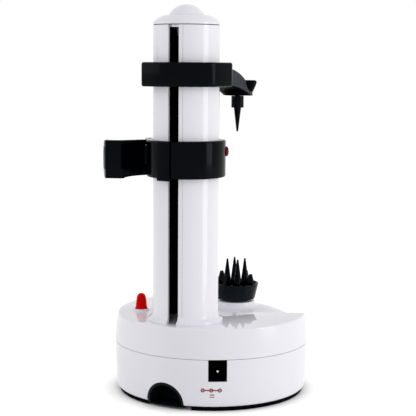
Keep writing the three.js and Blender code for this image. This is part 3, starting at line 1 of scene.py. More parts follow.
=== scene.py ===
# %% [markdown]
# # An electric countertop peeler
# The machine has a round white base with a motor, a white tower with a slotted back, a black
# carriage with a peeling arm, a black upper holder with a spike and a spiked cup that turns.
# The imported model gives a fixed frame: its solids are loaded first and never moved. Where a
# plain solid is too coarse to look at, a finer piece takes its place. Sizes below are in
# millimetres, as on a drawing, and the value MM turns them into metres.

# %% Load the frame
import bpy
import json
import math
from mathutils import Matrix, Vector

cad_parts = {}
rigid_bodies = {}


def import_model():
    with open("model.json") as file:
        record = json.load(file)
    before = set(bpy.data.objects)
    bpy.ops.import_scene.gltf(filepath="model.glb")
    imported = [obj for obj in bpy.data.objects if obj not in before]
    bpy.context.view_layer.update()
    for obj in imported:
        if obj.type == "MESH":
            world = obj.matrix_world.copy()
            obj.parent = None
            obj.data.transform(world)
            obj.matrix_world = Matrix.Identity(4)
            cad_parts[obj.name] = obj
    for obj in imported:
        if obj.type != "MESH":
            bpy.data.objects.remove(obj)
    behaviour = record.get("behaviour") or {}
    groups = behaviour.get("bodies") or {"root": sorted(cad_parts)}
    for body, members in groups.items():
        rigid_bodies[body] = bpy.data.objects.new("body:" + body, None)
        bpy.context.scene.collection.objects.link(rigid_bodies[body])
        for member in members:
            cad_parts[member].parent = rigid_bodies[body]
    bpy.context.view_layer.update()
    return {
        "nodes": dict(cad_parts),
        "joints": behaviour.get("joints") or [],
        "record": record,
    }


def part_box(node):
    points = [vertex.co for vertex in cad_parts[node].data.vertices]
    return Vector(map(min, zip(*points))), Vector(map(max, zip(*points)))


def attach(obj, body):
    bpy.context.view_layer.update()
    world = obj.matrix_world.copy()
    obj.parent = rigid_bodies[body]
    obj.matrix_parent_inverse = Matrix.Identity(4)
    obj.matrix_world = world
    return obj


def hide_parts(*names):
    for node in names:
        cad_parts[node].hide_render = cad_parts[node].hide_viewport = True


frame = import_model()
nodes = frame["nodes"]
MM = 0.001

# %% [markdown]
# Operators act on everything that is selected, and the loaded solids start out selected, so each
# step begins by letting go of everything.

# %% Small helpers for working by operator
def let_go():
    """Leave edit mode and deselect every object."""
    if bpy.context.object and bpy.context.object.mode != "OBJECT":
        bpy.ops.object.mode_set(mode="OBJECT")
    bpy.ops.object.select_all(action="DESELECT")


def take(piece):
    """Make one object the only selected and active one."""
    let_go()
    piece.select_set(True)
    bpy.context.view_layer.objects.active = piece


def settle(piece, name):
    """Name a piece and put its place into its mesh."""
    take(piece)
    piece.name = name
    piece.data.name = name
    bpy.ops.object.transform_apply(location=True, rotation=True, scale=True)
    return piece


def outward(piece):
    """Merge doubles and turn every face outwards."""
    take(piece)
    bpy.ops.object.mode_set(mode="EDIT")
    bpy.ops.mesh.select_all(action="SELECT")
    bpy.ops.mesh.remove_doubles(threshold=0.002 * MM)
    bpy.ops.mesh.normals_make_consistent(inside=False)
    bpy.ops.object.mode_set(mode="OBJECT")
    return piece


def smooth(piece, degrees=32):
    """Smooth shading that breaks at edges sharper than the angle."""
    take(piece)
    bpy.ops.object.shade_smooth_by_angle(angle=math.radians(degrees))
    return piece


def combine(piece, other, how):
    """Cut, join or intersect with another piece, which is used up."""
    take(piece)
    modifier = piece.modifiers.new(how, "BOOLEAN")
    modifier.operation = how
    modifier.solver = "EXACT"
    modifier.object = other
    bpy.ops.object.modifier_apply(modifier=modifier.name)
    bpy.data.objects.remove(other, do_unlink=True)
    return piece


def cut(piece, cutter):
    """Take the shape of a cutter, which is used up, away from a piece."""
    return combine(piece, cutter, "DIFFERENCE")


# %% [markdown]
# Most of this machine is turned: shells, tower, cap, cup, buttons. By hand one starts from a
# circle and pulls it ring by ring along the outline: extrude, move, scale. The helper does just
# that. A profile that starts or ends at radius zero gets a face there; one that does
# neither is bridged into a closed ring. A second helper gives the points of an arc, for the round
# corners of a profile or of a plan.

# %% Turned pieces
def turned(name, profile, centre=(0.0, 0.0), sides=96):
    """A closed turned solid from pairs of radius and height, in millimetres."""
    x, y = centre[0] * MM, centre[1] * MM
    rings = [(max(radius, 0.0), height) for radius, height in profile]
    starts_on_axis = rings[0][0] == 0.0
    ends_on_axis = rings[-1][0] == 0.0
    if starts_on_axis:
        rings = rings[1:]
    pole = rings.pop() if ends_on_axis else None
    let_go()
    radius, height = rings[0]
    place = (x, y, height * MM)
    bpy.ops.mesh.primitive_circle_add(vertices=sides, radius=radius * MM, location=place)
    piece = bpy.context.object
    bpy.ops.object.mode_set(mode="EDIT")
    bpy.ops.mesh.select_mode(type="VERT")
    bpy.ops.mesh.select_all(action="SELECT")
    for next_radius, next_height in rings[1:]:
        bpy.ops.mesh.extrude_edges_move(
            TRANSFORM_OT_translate={"value": (0, 0, (next_height - height) * MM)},
        )
        if next_radius != radius:
            share = next_radius / radius
            bpy.ops.transform.resize(value=(share, share, 1), center_override=(x, y, next_height * MM))
        radius, height = next_radius, next_height
    if ends_on_axis:
        if pole[1] == height:
            bpy.ops.mesh.edge_face_add()
        else:
            bpy.ops.mesh.extrude_edges_move(
                TRANSFORM_OT_translate={"value": (0, 0, (pole[1] - height) * MM)},
            )
            bpy.ops.mesh.merge(type="CENTER")
    bpy.ops.mesh.select_all(action="DESELECT")
    bpy.ops.mesh.select_non_manifold()
    if starts_on_axis:
        bpy.ops.mesh.edge_face_add()
    elif not ends_on_axis:
        bpy.ops.mesh.bridge_edge_loops()
    bpy.ops.object.mode_set(mode="OBJECT")
    settle(piece, name)
    return outward(piece)


def on_arc(centre, radius, start, stop, steps):
    """Points on an arc about a centre, between two angles in degrees."""
    points = []
    for i in range(steps + 1):
        angle = math.radians(start + (stop - start) * i / steps)
        points.append((centre[0] + radius * math.cos(angle), centre[1] + radius * math.sin(angle)))
    return points


# %% [markdown]
# Shapes that are not round are drawn as an outline and pushed to a thickness. By hand that is a
# single vertex, extruded from corner to corner, filled and extruded once more.

# %% Drawn pieces
def drawn(name, outline, push):
    """A closed solid: an outline of points in space, filled and pushed along a vector."""
    let_go()
    bpy.ops.mesh.primitive_plane_add(size=MM, location=[v * MM for v in outline[0]])
    piece = bpy.context.object
    bpy.ops.object.mode_set(mode="EDIT")
    bpy.ops.mesh.select_mode(type="VERT")
    bpy.ops.mesh.select_all(action="SELECT")
    bpy.ops.mesh.merge(type="CENTER")
    for before, after in zip(outline, outline[1:]):
        step = [(b - a) * MM for a, b in zip(before, after)]
        bpy.ops.mesh.extrude_vertices_move(TRANSFORM_OT_translate={"value": step})
    bpy.ops.mesh.select_all(action="SELECT")
    bpy.ops.mesh.edge_face_add()
    bpy.ops.mesh.select_all(action="SELECT")
    bpy.ops.mesh.extrude_region_move(TRANSFORM_OT_translate={"value": [v * MM for v in push]})
    bpy.ops.object.mode_set(mode="OBJECT")
    settle(piece, name)
    return outward(piece)


def plan(name, outline, low, high):
    """A drawn piece whose outline is seen from above, between two heights."""
    return drawn(name, [(x, y, low) for x, y in outline], (0, 0, high - low))


def block(name, low, high):
    """A box between two corners, in millimetres."""
    let_go()
    centre = [(a + b) / 2 * MM for a, b in zip(low, high)]
    bpy.ops.mesh.primitive_cube_add(size=1, location=centre)
    piece = bpy.context.object
    piece.scale = [(b - a) * MM for a, b in zip(low, high)]
    return settle(piece, name)


def turn_about(piece, degrees, centre=(0.0, 0.0), axis="Z"):
    """Turn a finished piece about an axis through a point in plan."""
    pivot = Vector((centre[0] * MM, centre[1] * MM, 0))
    turn = Matrix.Translation(pivot) @ Matrix.Rotation(math.radians(degrees), 4, axis)
    piece.data.transform(turn @ Matrix.Translation(-pivot))
    return piece


# %% [markdown]
# The frame already knows where things are, so places are read from it instead of typed: the
# axes of the turning parts from the joints, and levels from the boxes of the solids.

# %% Places taken from the frame
axes = {}
for joint in frame["joints"]:
    if joint.get("pos_m"):
        axes[joint["name"]] = [v / MM for v in joint["pos_m"]]
turntable = tuple(axes["turntable_spin"][:2])
tower = tuple(axes["screw_spin"][:2])
hinge = tuple(axes["peel_arm_swing"][:2])
reach = math.dist(tower, turntable)


def corners(node):
    """A solid's lowest and highest corners at rest, in millimetres."""
    low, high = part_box(node)
    return [v / MM for v in low], [v / MM for v in high]


def levels(node):
    """A solid's lowest and highest level, in millimetres."""
    low, high = corners(node)
    return low[2], high[2]


def middle(node):
    """The centre of a solid's box seen from above, in millimetres."""
    low, high = corners(node)
    return ((low[0] + high[0]) / 2, (low[1] + high[1]) / 2)


button = middle("start_button")
deck = levels("tower_tube")[0]
tower_radius = 24.2
cap_collar = 7.5
tower_top = levels("top_cap")[0] + cap_collar
print("turntable:", turntable, "tower:", tower, "button:", button)
print("deck:", deck, "tower's top:", tower_top, "reach:", round(reach, 2))

# %% [markdown]
# The photograph was taken from behind the machine with a long lens, a little above the middle
# of the tower and turned down by less than seven degrees. The place and focal length were
# worked out from the circles of the base, the seam, the tower and the cap.

# %% Camera
camera_place = (-0.00312, -0.91634, 0.24523)
focal_length = 104.63
view_down = 6.62
view_roll = 0.34
let_go()
bpy.ops.object.camera_add()
camera = bpy.context.object
camera.name = "camera"
camera.data.lens = focal_length
camera.data.sensor_fit = "HORIZONTAL"
camera.data.sensor_width = 36
camera.data.clip_end = 20
camera.matrix_world = (
    Matrix.Translation(camera_place)
    @ Matrix.Rotation(math.radians(90 - view_down), 4, "X")
    @ Matrix.Rotation(math.radians(view_roll), 4, "Z")
)
bpy.context.scene.camera = camera
print("camera place:", camera_place, "lens:", focal_length)

# %% [markdown]
# Light and finishes are built from nodes. Two helpers fill in a node's own values and link two
# nodes, as one does by hand in the shader editor.

# %% Small helpers for nodes
def fill(node, values):
    """Set a node's inputs from a table of names and values."""
    for name, value in values.items():
        node.inputs[name].default_value = value


def link(source, output, target, slot):
    """Link an output of one node to an input of another one in the same tree."""
    source.id_data.links.new(source.outputs[output], target.inputs[slot])


# %% [markdown]
# The picture is a shop photograph on white, with even light all round. The background is full
# white only to the camera, in reflections and through glass, so it adds no light to the machine.

# %% Room
scene = bpy.context.scene
scene.view_settings.view_transform = "Standard"
room_level = 0.715


def seen_not_lit(tree):
    """A node that gives one for rays from the camera, from gloss or through glass, or zero."""
    path = tree.nodes.new("ShaderNodeLightPath")
    first = tree.nodes.new("ShaderNodeMath")
    first.operation = "MAXIMUM"
    second = tree.nodes.new("ShaderNodeMath")
    second.operation = "MAXIMUM"
    link(path, "Is Camera Ray", first, 0)
    link(path, "Is Glossy Ray", first, 1)
    link(first, 0, second, 0)
    link(path, "Is Transmission Ray", second, 1)
    return second


world = bpy.data.worlds.new("white studio")
scene.world = world
world.use_nodes = True
sky = world.node_tree.nodes["Background"]
sky.inputs["Color"].default_value = (1, 1, 1, 1)
world_level = world.node_tree.nodes.new("ShaderNodeMapRange")
fill(world_level, {"To Min": room_level, "To Max": 1.0})
link(seen_not_lit(world.node_tree), 0, world_level, "Value")
link(world_level, "Result", sky, "Strength")
print("room level:", room_level)

# %% [markdown]
# The floor is matt white paper that fades into the background. It has a glow that is seen in the
# same way and doesn't light the machine. The glow grows with the distance from the base, so that
# the contact shadow stays and the horizon disappears. A ramp over that distance does this.

# %% Floor
glow_steps = [(0.0705, 0.03), (0.084, 0.3), (0.9, 0.4)]
let_go()
bpy.ops.mesh.primitive_plane_add(size=6, location=(0, 0, 0))
floor = bpy.context.object
floor.name = "floor"
paper = bpy.data.materials.new("white paper")
paper.use_nodes = True
paper_tree = paper.node_tree
paper_shader = paper_tree.nodes["Principled BSDF"]
fill(paper_shader, {
    "Base Color": (0.95, 0.95, 0.95, 1), "Roughness": 0.9, "Specular IOR Level": 0.1,
    "Emission Color": (1, 1, 1, 1),
})
paper_place = paper_tree.nodes.new("ShaderNodeTexCoord")
paper_reach = paper_tree.nodes.new("ShaderNodeVectorMath")
paper_reach.operation = "LENGTH"
paper_glow = paper_tree.nodes.new("ShaderNodeValToRGB")
paper_glow.color_ramp.elements.new(glow_steps[1][0])
for element, (distance, strength) in zip(paper_glow.color_ramp.elements, glow_steps):
    element.position = distance
    element.color = (strength, strength, strength, 1)
paper_seen = paper_tree.nodes.new("ShaderNodeMath")
paper_seen.operation = "MULTIPLY"
link(paper_place, "Object", paper_reach, 0)
link(paper_reach, "Value", paper_glow, "Fac")
link(paper_glow, "Color", paper_seen, 0)
link(seen_not_lit(paper_tree), 0, paper_seen, 1)
link(paper_seen, 0, paper_shader, "Emission Strength")
floor.data.materials.append(paper)
print("glow by distance in metres:", glow_steps)

# %% [markdown]
# Two soft rectangular lamps draw the bright bands on the gloss: a tall narrow one low on the
# right and a wide, weaker one higher up on the left.

# %% Lamps
def lamp(name, place, aim, size, power):
    """A soft rectangular lamp that faces a point."""
    let_go()
    bpy.ops.object.light_add(type="AREA", location=place)
    made = bpy.context.object
    made.name = name
    made.data.shape = "RECTANGLE"
    made.data.size, made.data.size_y = size
    made.data.energy = power
    way = Vector(aim) - Vector(place)
    made.rotation_euler = way.to_track_quat("-Z", "Y").to_euler()
    return made


lamp("right softbox", (1.2, -0.45, 0.5), (0, 0, 0.15), (0.47, 1.0), 6.1)
lamp("left softbox", (-1.2, -0.15, 0.75), (0, 0, 0.15), (1.1, 1.1), 3.5)
print("lamps:", [light.name for light in bpy.data.lights])

# %% [markdown]
# Every finish follows one recipe: a colour with faint clouds, a gloss that is a little uneven and
# a fine grain as a bump. Only the amounts differ from one finish to the next.

# %% Recipe for a finish
def finish_of(name, colour, roughness, metal=0.0, specular=0.5, grain=900.0, depth=0.02,
              cloud=0.02, uneven=0.04, tint=(1, 1, 1)):
    """A moulded or metal finish with slight clouds of colour, uneven gloss and a fine grain."""
    made = bpy.data.materials.new(name)
    made.use_nodes = True
    tree = made.node_tree
    shader = tree.nodes["Principled BSDF"]
    fill(shader, {"Metallic": metal, "Specular IOR Level": specular, "Specular Tint": (*tint, 1)})
    place = tree.nodes.new("ShaderNodeTexCoord")
    clouds = tree.nodes.new("ShaderNodeTexNoise")
    fill(clouds, {"Scale": 28.0, "Detail": 3.0})
    shade = tree.nodes.new("ShaderNodeValToRGB")
    for element, position, share in zip(shade.color_ramp.elements, (0.35, 0.65), (-cloud, cloud)):
        element.position = position
        element.color = [min(c * (1 + share), 1) for c in colour] + [1]
    gloss = tree.nodes.new("ShaderNodeMapRange")
    fill(gloss, {"To Min": max(roughness - uneven, 0.02), "To Max": roughness + uneven})
    fine = tree.nodes.new("ShaderNodeTexNoise")
    fill(fine, {"Scale": grain, "Detail": 2.0})
    bump = tree.nodes.new("ShaderNodeBump")
    fill(bump, {"Strength": depth, "Distance": 0.2 * MM})
    link(place, "Object", clouds, "Vector")
    link(place, "Object", fine, "Vector")
    link(clouds, "Fac", shade, "Fac")
    link(clouds, "Fac", gloss, "Value")
    link(shade, "Color", shader, "Base Color")
    link(gloss, "Result", shader, "Roughness")
    link(fine, "Fac", bump, "Height")
    link(bump, "Normal", shader, "Normal")
    return made


# %% [markdown]
# The white shells are moulded in a hard gloss plastic, nearly a mirror at a low angle, and the
# wall of the upper one has a softer gloss. The black mouldings have a hard gloss too. The neck of
# the upper holder is grained, in a lighter grey that is partly painted light on its top and
# sides. Its underside and the dish are a darker satin as painted shade, and the socket and the
# sleeve behind the slot are satin too. The cup's wall and the notch's liner are a slightly paler
# gloss: a painted reflection of the deck on the wall and painted light in the notch's shade.

# %% The machine's finishes
white = (0.79, 0.783, 0.832)
white_gloss = finish_of("white gloss plastic", white, 0.06,
                        specular=0.3, uneven=0.02, depth=0.008, cloud=0.006)
white_wall = finish_of("white wall plastic", white, 0.26,
                       specular=0.3, uneven=0.02, depth=0.008, cloud=0.006)
black_gloss = finish_of("black gloss plastic", (0.0004, 0.0007, 0.0015), 0.11,
                        specular=0.055, tint=(0.82, 0.9, 1.0))
# The grained black is a lighter grey, partly painted light for the neck's lit top and sides.
black_lit_grain = finish_of("black grained plastic", (0.033, 0.034, 0.044), 0.5,
                        specular=0.1, depth=0.2, grain=1400.0, cloud=0.2)
black_satin = finish_of("black satin plastic", (0.001, 0.0011, 0.0015), 0.4,
                        specular=0.006, depth=0.06, grain=1400.0)
# A paler black gloss: a painted reflection of the deck on the cup's wall, and painted light in the
# notch's shade.
black_painted_light = finish_of("paler black gloss with painted light", (0.0062, 0.0085, 0.0115), 0.14, specular=0.06)
black_rubber = finish_of("black rubber", (0.0012, 0.0012, 0.0014), 0.7, specular=0.02, depth=0.15)
grey_matte = finish_of("grey moulded plastic", (0.42, 0.43, 0.45), 0.5, depth=0.05)
red_cap = finish_of("red button plastic", (0.62, 0.0004, 0.0006), 0.18,
                    specular=0.025, depth=0.01, cloud=0.05)
dark_red = finish_of("dark red plastic", (0.13, 0.001, 0.003), 0.2, specular=0.08, depth=0.01)
gear_plastic = finish_of("ivory gear plastic", (0.72, 0.69, 0.60), 0.45, depth=0.03)
steel = finish_of("turned steel", (0.55, 0.56, 0.58), 0.26, metal=1.0, depth=0.04, grain=2200.0)
blade_steel = finish_of("ground blade steel", (0.68, 0.69, 0.71), 0.14,
                        metal=1.0, depth=0.05, grain=2600.0)
brass = finish_of("sintered brass", (0.55, 0.39, 0.14), 0.34, metal=1.0, depth=0.05)
ink = finish_of("crimson print", (0.23, 0.002, 0.007), 0.4, specular=0.05, depth=0.0)
finishes = {
    "white_gloss": white_gloss, "grey_plastic": grey_matte, "black_plastic": black_gloss,
    "black_rubber": black_rubber, "red_cap": red_cap, "red_button": dark_red,
    "gear_plastic": gear_plastic, "steel": steel, "blade_steel": blade_steel, "brass": brass,
}
print("finishes for the solids' slots:", len(finishes))

# %% [markdown]
# The solids that stay get the finish of their slot. A finer piece gets its finish, the body that
# carries it and the solids that it stands for in one call.

# %% Dress the solids and the new pieces
def dress(piece, finish):
    """Give a piece one finish."""
    piece.data.materials.clear()
    piece.data.materials.append(finish)
    return piece


for part in frame["record"]["subparts"]:
    solid = nodes[part["node"]]
    finish = finishes[part["material_slot"]]
    if solid.material_slots:
        for held in solid.material_slots:
            held.material = finish
    else:
        solid.data.materials.append(finish)


def stands_for(piece, finish, body, slot, *replaced):
    """Finish a new piece: its material, its body and the solids it replaces. The slot is not used."""
    dress(piece, finish)
    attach(piece, body)
    if replaced:
        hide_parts(*replaced)
    print(piece.name, "faces:", len(piece.data.polygons))
    return piece


# %% [markdown]
# The lower shell is a bowl-shaped ring with a soft foot. Near the back it has an arched notch
# and the opening of the power socket. A turned ring with two cutters is the plain way to make it.

# %% Lower shell
seam_low = levels("lower_shell")[1]
seam_high = seam_low + 0.3
notch_way = 28.2
notch_size = 15.3
notch_level = 4.1
notch_inner, notch_outer = 49, 80
under_base = -2
socket_left, socket_right = corners("dc_socket")[0][0] - 0.3, corners("dc_socket")[1][0] + 0.3
socket_foot = levels("dc_socket")[0]


def notch_cutter(radius, inner, outer, low):
    """An arched tunnel from the middle of the base towards the notch."""
    outline = [(-radius, low), (radius, low)] + on_arc((0, notch_level), radius, 0, 180, 36)
    arch = drawn("arch", [(x, -inner, z) for x, z in outline], (0, inner - outer, 0))
    return turn_about(arch, -notch_way)


lower_shell = turned("lower_shell_skin", [
    (68.5, 3.4), (70.6, 3.4), (71.25, 3.6), (71.75, 4.1), (72.1, 4.9), (72.3, 5.9), (72.55, 9.5),
    (72.95, 16.0), (73.4, 25.0), (73.7, seam_low - 0.18), (73.58, seam_low), (71.35, seam_low),
    (71.2, 32.0), (70.1, 6.5),
], sides=192)
cut(lower_shell, notch_cutter(notch_size, notch_inner, notch_outer, under_base))
opening_near = (socket_left, -80, socket_foot - 0.3)
socket_cutter = block("socket opening", opening_near, (socket_right, -50, 45))
cut(lower_shell, socket_cutter)
stands_for(smooth(lower_shell), white_gloss, "base", "white_gloss", "lower_shell")

# %% [markdown]
# The symbol on the wall, and later pieces, need plain rings and rods, a way to move a finished
# mesh and a way to put pieces into one mesh without cutting them.

# %% Rings, rods, moves and joins
def pipe(name, inner, outer, low, high, centre=(0.0, 0.0), sides=96):
    """A plain turned ring, or a rod where the inner radius is zero."""
    return turned(name, [(inner, low), (outer, low), (outer, high), (inner, high)], centre, sides)


def shift(piece, x=0.0, y=0.0, z=0.0):
    """Move a finished piece's mesh by millimetres."""
    piece.data.transform(Matrix.Translation((x * MM, y * MM, z * MM)))
    return piece


def join(piece, others):
    """Put other pieces into one mesh with the first, without cutting them."""
    take(piece)
    for other in others:
        other.select_set(True)
    bpy.ops.object.join()
    return piece


# %% [markdown]
# Under the socket the wall carries the usual polarity symbol in crimson print: three small
# circles on a line, with a short bar in each outer one, and the sign for direct current below.
# Rings and bars are pushed through the wall and kept only where they meet a thin skin on it, so
# the print follows the curve.

# %% Polarity symbol
symbol_level = 16.0
symbol_step = 6.12
symbol_radius = 1.5
line_half = 0.4
ring_width = 0.8
dot_radius = 0.45
dash_step = 1.2


def disc(name, x, inner, outer, sides):
    """A ring or a disc that lies along -Y and goes through the wall."""
    rod = pipe(name, inner, outer, 60, 80, sides=sides)
    return shift(turn_about(rod, 90, axis="X"), x, 0, symbol_level)


def bar(name, left, right, low, high):
    """A bar that goes through the wall."""
    return block(name, (left, -80, low), (right, -60, high))


marks = []
for x in (-symbol_step, 0, symbol_step):
    marks.append(disc("circle", x, symbol_radius - ring_width, symbol_radius, 32))
marks.append(disc("dot", 0, 0, dot_radius, 24))
for side in (-1, 1):
    ends = sorted((side * (symbol_radius + 0.05), side * (symbol_step - symbol_radius - 0.05)))
    marks.append(bar("link", *ends, symbol_level - line_half, symbol_level + line_half))
    sign = side * symbol_step
    marks.append(bar("minus", sign - 0.5, sign + 0.5, symbol_level - 0.18, symbol_level + 0.18))
marks.append(bar("direct line", -1.1, 2.1, 12.3, 13.0))
for i in range(3):
    marks.append(bar("dash", -1.1 + i * dash_step, -0.25 + i * dash_step, 10.65, 11.35))
symbol = join(marks[0], marks[1:])
skin = turned("skin", [
    (72.2, 9.5), (72.6, 9.5), (73.0, 16.0), (73.4, 24.0), (73.0, 24.0), (72.6, 16.0),
], sides=192)
combine(symbol, skin, "INTERSECT")
symbol.name = "polarity_symbol"
stands_for(symbol, ink, "base", "red_button")

# %% [markdown]
# The upper shell has a flat deck at the back. In front of a curved step the surface drops to a
# shallow dome round the turntable. All sides of the step lie at one distance from the
# turntable's axis, so the step's rounded edge is made by scaling the cutter about that axis.
# The same cutter, larger by the wall, shapes the hollow inside.

# %% Cutter for the step and the dome
step_radius = reach - tower_radius - 12.2
dome_top = deck - 2.3
dome_reach = step_radius - 2.2
dome_fall = 9.4
dome_sphere = (dome_reach ** 2 + dome_fall ** 2) / (2 * dome_fall)


def dome_profile(drop, low):
    """The apron's dome from its rim to its top, lowered by a drop."""
    points = [(0, low), (150, low), (150, dome_top - dome_fall - drop)]
    for i in range(12):
        radius = dome_reach * (1 - i / 12)
        level = dome_top - dome_sphere + math.sqrt(dome_sphere ** 2 - radius ** 2)
        points.append((radius, level - drop))
    points.append((0, dome_top - drop))
    return points


def apron_cutter(grow, drop):
    """All that is taken away in front of the step, above the dome."""
    out = step_radius + grow
    tx, ty = turntable
    outline = [(tx, ty - out), (160, ty - out), (160, 160), (tx - out, 160)]
    outline += on_arc(turntable, out, 180, 270, 40)[:-1]
    cutter = plan("step", outline, 30, deck - 1.4)
    take(cutter)
    bpy.ops.object.mode_set(mode="EDIT")
    bpy.ops.mesh.select_mode(type="FACE")
    bpy.ops.mesh.select_all(action="DESELECT")
    bpy.ops.object.mode_set(mode="OBJECT")
    for face in cutter.data.polygons:
        face.select = face.normal.z > 0.9
    bpy.ops.object.mode_set(mode="EDIT")
    for rise, wider in ((0.5, 0.07), (0.45, 0.3), (0.3, 0.5), (0.15, 0.53), (1.0, 0.0)):
        bpy.ops.mesh.extrude_region_move(TRANSFORM_OT_translate={"value": (0, 0, rise * MM)})
        share = (out + wider) / out
        bpy.ops.transform.resize(value=(share, share, 1), center_override=(tx * MM, ty * MM, 0))
        out += wider
    bpy.ops.object.mode_set(mode="OBJECT")
    outward(cutter)
    dome = turned("dome", dome_profile(drop, 20), turntable, 128)
    return cut(cutter, dome)


print("step radius:", round(step_radius, 2), "dome's ball:", round(dome_sphere, 1))

# %% [markdown]
# The shell is turned in one piece with its deck, cut, and hollowed. Its wall below the deck's
# edge has a softer gloss than the deck, so those faces get a second finish.

# %% Upper shell
shell_wall = 2.4
wall_radius = 71.9
upper_shell = turned("upper_shell_skin", [
    (0, seam_high), (73.58, seam_high), (73.7, seam_high + 0.18), (73.5, 42.0), (73.05, 49.0),
    (71.85, deck - 1.9),
] + on_arc((70.15, deck - 1.6), 1.6, 10, 90, 6) + [(0, deck)], sides=192)
cut(upper_shell, apron_cutter(0.0, 0.0))
ceiling = deck - shell_wall
hollow = turned("hollow", [(0, 30), (71.35, 30), (69.3, ceiling), (0, ceiling)], sides=96)
cut(hollow, apron_cutter(shell_wall, shell_wall))
cut(upper_shell, hollow)
stands_for(smooth(upper_shell), white_gloss, "base", "white_gloss", "upper_shell")
upper_shell.data.materials.append(white_wall)
for face in upper_shell.data.polygons:
    from_middle = math.hypot(face.center.x, face.center.y)
    if from_middle > wall_radius * MM and abs(face.normal.z) < 0.5:
        face.material_index = 1

# %% [markdown]
# Round the turntable's shaft the shell rises to a low round table with a soft edge and a hollow
# foot that sinks into the dome. It belongs to the shell, so it gets the same finish. Its profile is
# written from the deck's level, as several later ones are.

# %% Raised ring round the turntable
def above(level, profile):
    """A profile with its heights counted from a level."""
    return [(radius, level + height) for radius, height in profile]


collar_top = deck + 0.5
ring_skirt = above(deck, [
    (5.2, -4.1), (18.9, -4.1), (17.9, -3.7), (17.0, -3.2), (16.2, -2.5), (15.6, -1.7),
    (15.25, -0.9),
])
ring_edge = above(collar_top, [(15.15, -0.4), (14.8, -0.05), (14.3, 0), (5.2, 0)])
raised_ring = turned("turntable_collar", ring_skirt + ring_edge, turntable, 96)
stands_for(smooth(raised_ring), white_gloss, "base", "white_gloss")

# %% [markdown]
# A black rubber ring under the lower shell keeps the machine from sliding. It is open where the
# notch cuts through the foot. Inside the notch stands a black liner in a paler gloss, which paints
# light into the notch's shade, with a thin black floor that paints the shade at its bottom. The liner
# is open to the outside. A turned block trims it to the curve of the wall.

# %% Foot ring and notch pocket
foot = turned("foot_ring_rubber", [
    (63.1, 0.5), (63.6, 0.0), (69.3, 0.0), (70.0, 0.4), (70.25, 1.1), (70.25, 3.4), (63.1, 3.4),
], sides=160)
gap = plan("gap", [(0, 0)] + on_arc((0, 0), 100, -129.7, -101.8, 8), under_base, 6)
cut(foot, gap)
cut(foot, notch_cutter(notch_size, notch_inner, notch_outer, under_base))
stands_for(smooth(foot), black_rubber, "base", "black_rubber", "foot_ring")

# The liner's thin black floor between these two levels is a dark sheet that paints the shade at the
# notch's bottom.
pocket_low, shade_sheet_top = 1.5, 2.1
pocket = notch_cutter(notch_size - 0.3, notch_inner + 0.3, notch_outer, pocket_low)
pocket.name = "notch_pocket"
pocket_space = notch_cutter(notch_size - 2.1, notch_inner + 2.1, notch_outer + 10, shade_sheet_top)
cut(pocket, pocket_space)
trim = turned("trim", [
    (0, -3), (70.6, -3), (70.6, 3.3), (72.0, 5.9), (73.1, 25.0), (0, 25.0),
], sides=160)
combine(pocket, trim, "INTERSECT")
# The liner gets the paler black, painted light in the notch's shade.
stands_for(smooth(pocket), black_painted_light, "base", "black_plastic", "notch_liner")

# %% [markdown]
# The tower is a straight tube on a short flared foot, with a slot over its whole height. The
# slot's right edge is chamfered, and a fine groove runs beside it: two cutters with a sloping
# side give the two bright lines that the lamps draw there. A small tab closes the slot's top.

# %% Tower tube
slot_way = 21.6
slot_half = 3.9
flare_top = deck + 6.1
below_deck, over_cap = 50, 290


def beside_slot(name, outline, low, high):
    """A piece drawn in the slot's own directions, with the slot's middle at x = 0."""
    made = plan(name, [(tower[0] + x, tower[1] + y) for x, y in outline], low, high)
    return turn_about(made, -slot_way, tower)


def slot_box(name, left, right, outer, inner, low, high):
    """A box in the slot's own directions, between two distances from the tower's axis."""
    outline = [(left, -outer), (right, -outer), (right, -inner), (left, -inner)]
    return beside_slot(name, outline, low, high)


def slot_cutter():
    """The slot itself, over the whole height."""
    return slot_box("slot", -slot_half, slot_half, 40, 0, below_deck, over_cap)


tube_foot = above(deck, [
    (21.8, 0), (27.6, 0), (27.6, 1.5), (27.4, 2.0), (26.9, 2.25), (25.9, 2.8), (25.0, 3.7),
    (24.45, 4.8), (tower_radius, 6.1),
])
tube_head = above(tower_top, [(tower_radius, -0.45), (23.2, -0.45), (23.2, 0), (21.8, 0)])
tube = turned("tower_tube_skin", tube_foot + tube_head, tower, 160)
cut(tube, slot_cutter())
chamfer = [(3.0, -29), (4.6, -29), (4.6, -23.74), (3.88, -23.46), (3.0, -23.46)]
cut(tube, beside_slot("chamfer", chamfer, flare_top, over_cap))
groove = [(6.25, -29), (7.1, -29), (7.1, -23.1), (6.8, -22.72), (6.25, -23.4)]
cut(tube, beside_slot("groove", groove, flare_top, over_cap))
tab = slot_box("tab", -1.4, slot_half + 0.2, 23.2, 21.9, tower_top - 2.1, tower_top)
combine(tube, tab, "UNION")
stands_for(smooth(tube), white_gloss, "base", "white_gloss", "tower_tube")

# %% [markdown]
# A dark sleeve lines the tube and makes the slot look black and deep.

# %% Tower liner
liner_low, liner_high = levels("tower_liner")
liner = pipe("tower_liner_sleeve", 19.9, 21.5, liner_low, liner_high, tower)
cut(liner, slot_cutter())
stands_for(smooth(liner), black_satin, "base", "black_plastic", "tower_liner")

# %% [markdown]
# The cap sits on the tube, on a thin black ring in the fine joint, a dark piece that paints the
# joint's shade. It rises in a soft shoulder and carries a round knob. All are turned, the shoulder
# as a short list of points and the knob as part of a ball.

